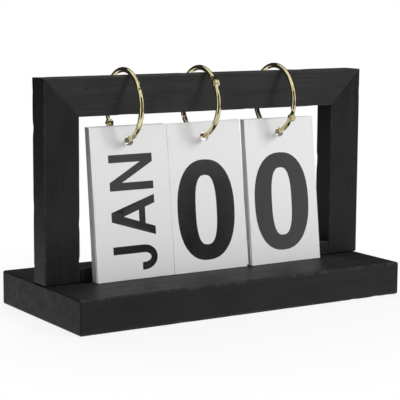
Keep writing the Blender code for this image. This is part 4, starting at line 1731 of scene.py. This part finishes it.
@dataclass(frozen=True)
class Studio:
    """The camera, a pale floor, a white surround, black screens and soft lamps."""

    azimuth: float = math.radians(32.312)
    elevation: float = math.radians(8.354)
    roll: float = math.radians(0.355)
    distance: float = 875.489 * MM
    target: Colour = (-3.447 * MM, 0.0, 60.472 * MM)
    focal_pixels: float = 1464.817
    frame_pixels: float = 400.0
    sensor: float = 36.0
    nearest: float = 0.01
    ambient: float = 0.45
    floor_size: float = 6.0
    floor_level: float = -0.05 * MM
    floor_tone: Colour = (0.66, 0.66, 0.66)
    floor_glow: float = 0.87
    shadow_reach: Pair = (0.12, 0.24)
    flag_tone: Colour = (0.03, 0.03, 0.03)
    flags: tuple[Flag, ...] = (
        Flag(-22.0, 44.0, (0.55, 0.36)),
        Flag(44.0, 58.0, (0.38, 0.062), (0.38, 0.0)),
        Flag(58.0, 67.0, (0.38, 0.110), (0.38, 0.0)),
        Flag(88.0, 300.0, (0.55, 0.75)),
        Flag(-22.0, 38.0, (0.20, 0.002), (0.55, 0.002)),
        Flag(170.0, 310.0, (0.36, 0.002), (0.55, 0.002)),
        Flag(250.0, 312.0, (0.60, 0.42), (0.60, 0.0), shades=True),
    )
    lamps: tuple[Lamp, ...] = (
        Lamp("back_light", (0.10, 0.72, 1.0), (0.0, 0.0, 0.06), (0.7, 0.5), 9.0),
        Lamp("front_key", (0.76, -0.99, 1.04), (0.0, 0.0, 0.09), (0.45, 0.45), 15.4),
    )

    FLAG_STEPS = 40

    def camera(self) -> None:
        """A camera at the photograph's place, turned by its small roll."""
        data = bpy.data.cameras.new("camera")
        data.sensor_width = self.sensor
        data.lens = self.focal_pixels * self.sensor / self.frame_pixels
        data.clip_start = self.nearest
        back = Vector((
            -math.sin(self.azimuth) * math.cos(self.elevation),
            -math.cos(self.azimuth) * math.cos(self.elevation),
            math.sin(self.elevation),
        ))
        right = Vector((math.cos(self.azimuth), -math.sin(self.azimuth), 0.0))
        view = Matrix((right, back.cross(right), back)).transposed() @ Matrix.Rotation(self.roll, 3, "Z")
        camera = bpy.data.objects.new("camera", data)
        camera.matrix_world = Matrix.Translation(Vector(self.target) + back * self.distance) @ view.to_4x4()
        bpy.context.scene.collection.objects.link(camera)
        bpy.context.scene.camera = camera

    def light(self, lamp: Lamp) -> None:
        """Hangs a lamp, hidden from polished metal, which would mirror it.

        Args:
            lamp: Its place and strength.
        """
        data = bpy.data.lights.new(lamp.name, "AREA")
        data.shape = "RECTANGLE"
        data.size, data.size_y = lamp.size
        data.energy = lamp.watts
        hung = bpy.data.objects.new(lamp.name, data)
        hung.visible_glossy = False
        hung.location = lamp.place
        hung.rotation_euler = (Vector(lamp.aim) - Vector(lamp.place)).to_track_quat("-Z", "Y").to_euler()
        bpy.context.scene.collection.objects.link(hung)

    def surround(self) -> None:
        """White to the camera and in reflections, and a softer level as the light on surfaces."""
        world = bpy.data.worlds.new("studio")
        world.use_nodes = True
        bpy.context.scene.world = world
        bench = Bench(world.node_tree)
        colour = bench.mix(bench.shown(), (self.ambient,) * 3, WHITE)
        background = bench.add("ShaderNodeBackground", {}, {"Color": colour, "Strength": 1.0})
        bench.add("ShaderNodeOutputWorld", {}, {"Surface": background})

    def floor(self) -> None:
        """A wide pale sheet that glows for the camera and keeps the object's shadow close to it."""
        half = self.floor_size / 2
        mesh = bpy.data.meshes.new("floor")
        corners = [(-half, -half), (half, -half), (half, half), (-half, half)]
        mesh.from_pydata([(*corner, self.floor_level) for corner in corners], [], [(0, 1, 2, 3)])
        material, bench = new_material("pale_floor")
        matt = bench.add("ShaderNodeBsdfDiffuse", {}, {"Color": (*self.floor_tone, 1.0)})
        glow = bench.add("ShaderNodeEmission", {}, {"Color": (*WHITE, 1.0), "Strength": 1.0})
        point = bench.object_point((1.0, 1.0, 1.0))
        away = bench.add("ShaderNodeVectorMath", {"operation": "LENGTH"}, {0: point}, "Value")
        bare = away.between(*self.shadow_reach)
        share = bench.shown() * (bare * (1 - self.floor_glow) + self.floor_glow)
        both = bench.add("ShaderNodeMixShader", {}, {0: share, 1: matt, 2: glow})
        bench.add("ShaderNodeOutputMaterial", {}, {"Surface": both})
        mesh.materials.append(material)
        floor = bpy.data.objects.new("floor", mesh)
        bpy.context.scene.collection.objects.link(floor)

    def dark_flags(self) -> None:
        """Black curved screens, which give polished wire its dark edges and the ink its depth.

        Most show only in reflections, and one only shades the light. An edge's points are
        (-d sin a, -d cos a, z), with the angle a counted from the camera's side.
        """
        material, bench = new_material("black_flag")
        matt = bench.add("ShaderNodeEmission", {}, {"Color": (*self.flag_tone, 1.0), "Strength": 1.0})
        bench.add("ShaderNodeOutputMaterial", {}, {"Surface": matt})
        for number, flag in enumerate(self.flags):
            angle = self.azimuth - np.radians(np.linspace(flag.start, flag.stop, self.FLAG_STEPS))
            lead = np.stack([-np.sin(angle), -np.cos(angle)], 1)
            edges = [np.c_[lead * reach, 0 * angle + height] for reach, height in (flag.foot, flag.head)]
            points = np.concatenate(edges)
            first = np.arange(len(angle) - 1)[:, None]
            faces = first + np.array([0, 1, len(angle) + 1, len(angle)])
            mesh = bpy.data.meshes.new(f"black_flag_{number}")
            mesh.from_pydata(points.tolist(), [], faces.tolist())
            mesh.materials.append(material)
            screen = bpy.data.objects.new(mesh.name, mesh)
            screen.visible_camera = False
            screen.visible_transmission = False
            screen.visible_glossy = not flag.shades
            screen.visible_diffuse = flag.shades
            screen.visible_shadow = flag.shades
            bpy.context.scene.collection.objects.link(screen)

    def build(self) -> None:
        """Sets the camera, the surround, the floor, the screens and the lamps."""
        bpy.context.scene.view_settings.view_transform = "Standard"
        self.camera()
        self.surround()
        self.floor()
        self.dark_flags()
        for lamp in self.lamps:
            self.light(lamp)


MONTH_LETTERS = Lettering(stem=0.158, beam=0.145)
NUMBER_LETTERS = Lettering(stem=0.212, beam=0.155)
MONTH_STYLE = PrintStyle(Reading.BOTTOM_TO_TOP, MONTH_LETTERS, height=28.6, longest=69.0, middle=49.6)
TENS_STYLE = PrintStyle(Reading.UPRIGHT, NUMBER_LETTERS, height=59.7, longest=42.0, middle=51.8, aside=-1.4)
UNITS_STYLE = PrintStyle(Reading.UPRIGHT, NUMBER_LETTERS, height=59.7, longest=42.0, middle=50.6, aside=-1.1)
MONTHS = ("JAN", "FEB", "MAR", "APR", "MAY", "JUN", "JUL", "AUG", "SEP", "OCT", "NOV", "DEC")


def card_packs() -> list[CardPack]:
    """The three packs with what each card says.

    Returns:
        The packs, from left to right.
    """
    months = {f"month_card_{number:02d}": name for number, name in enumerate(MONTHS, start=1)}
    tens = {f"tens_card_{number}": str(number) for number in range(4)}
    units = {f"units_card_{number}": str(number) for number in range(10)}
    return [
        CardPack("month", months, MONTH_STYLE, bow=-1.2 * MM, cup=0.25 * MM),
        CardPack("tens", tens, TENS_STYLE, bow=-0.45 * MM, cup=0.2 * MM),
        CardPack("units", units, UNITS_STYLE, bow=-0.4 * MM, cup=0.25 * MM),
    ]


def main() -> None:
    """Builds the stand, the rings, the packs and the studio."""
    logging.basicConfig(level=logging.INFO, format="%(name)s: %(message)s")
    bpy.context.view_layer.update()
    Stand().build()
    brass = PolishedBrass().material()
    card, ink = CoatedCard().material(), PrintInk().material()
    for pack in card_packs():
        BookRing(pack.pack).build(brass)
        pack.build(card, ink)
    Studio().build()


if __name__ == "__main__":
    main()
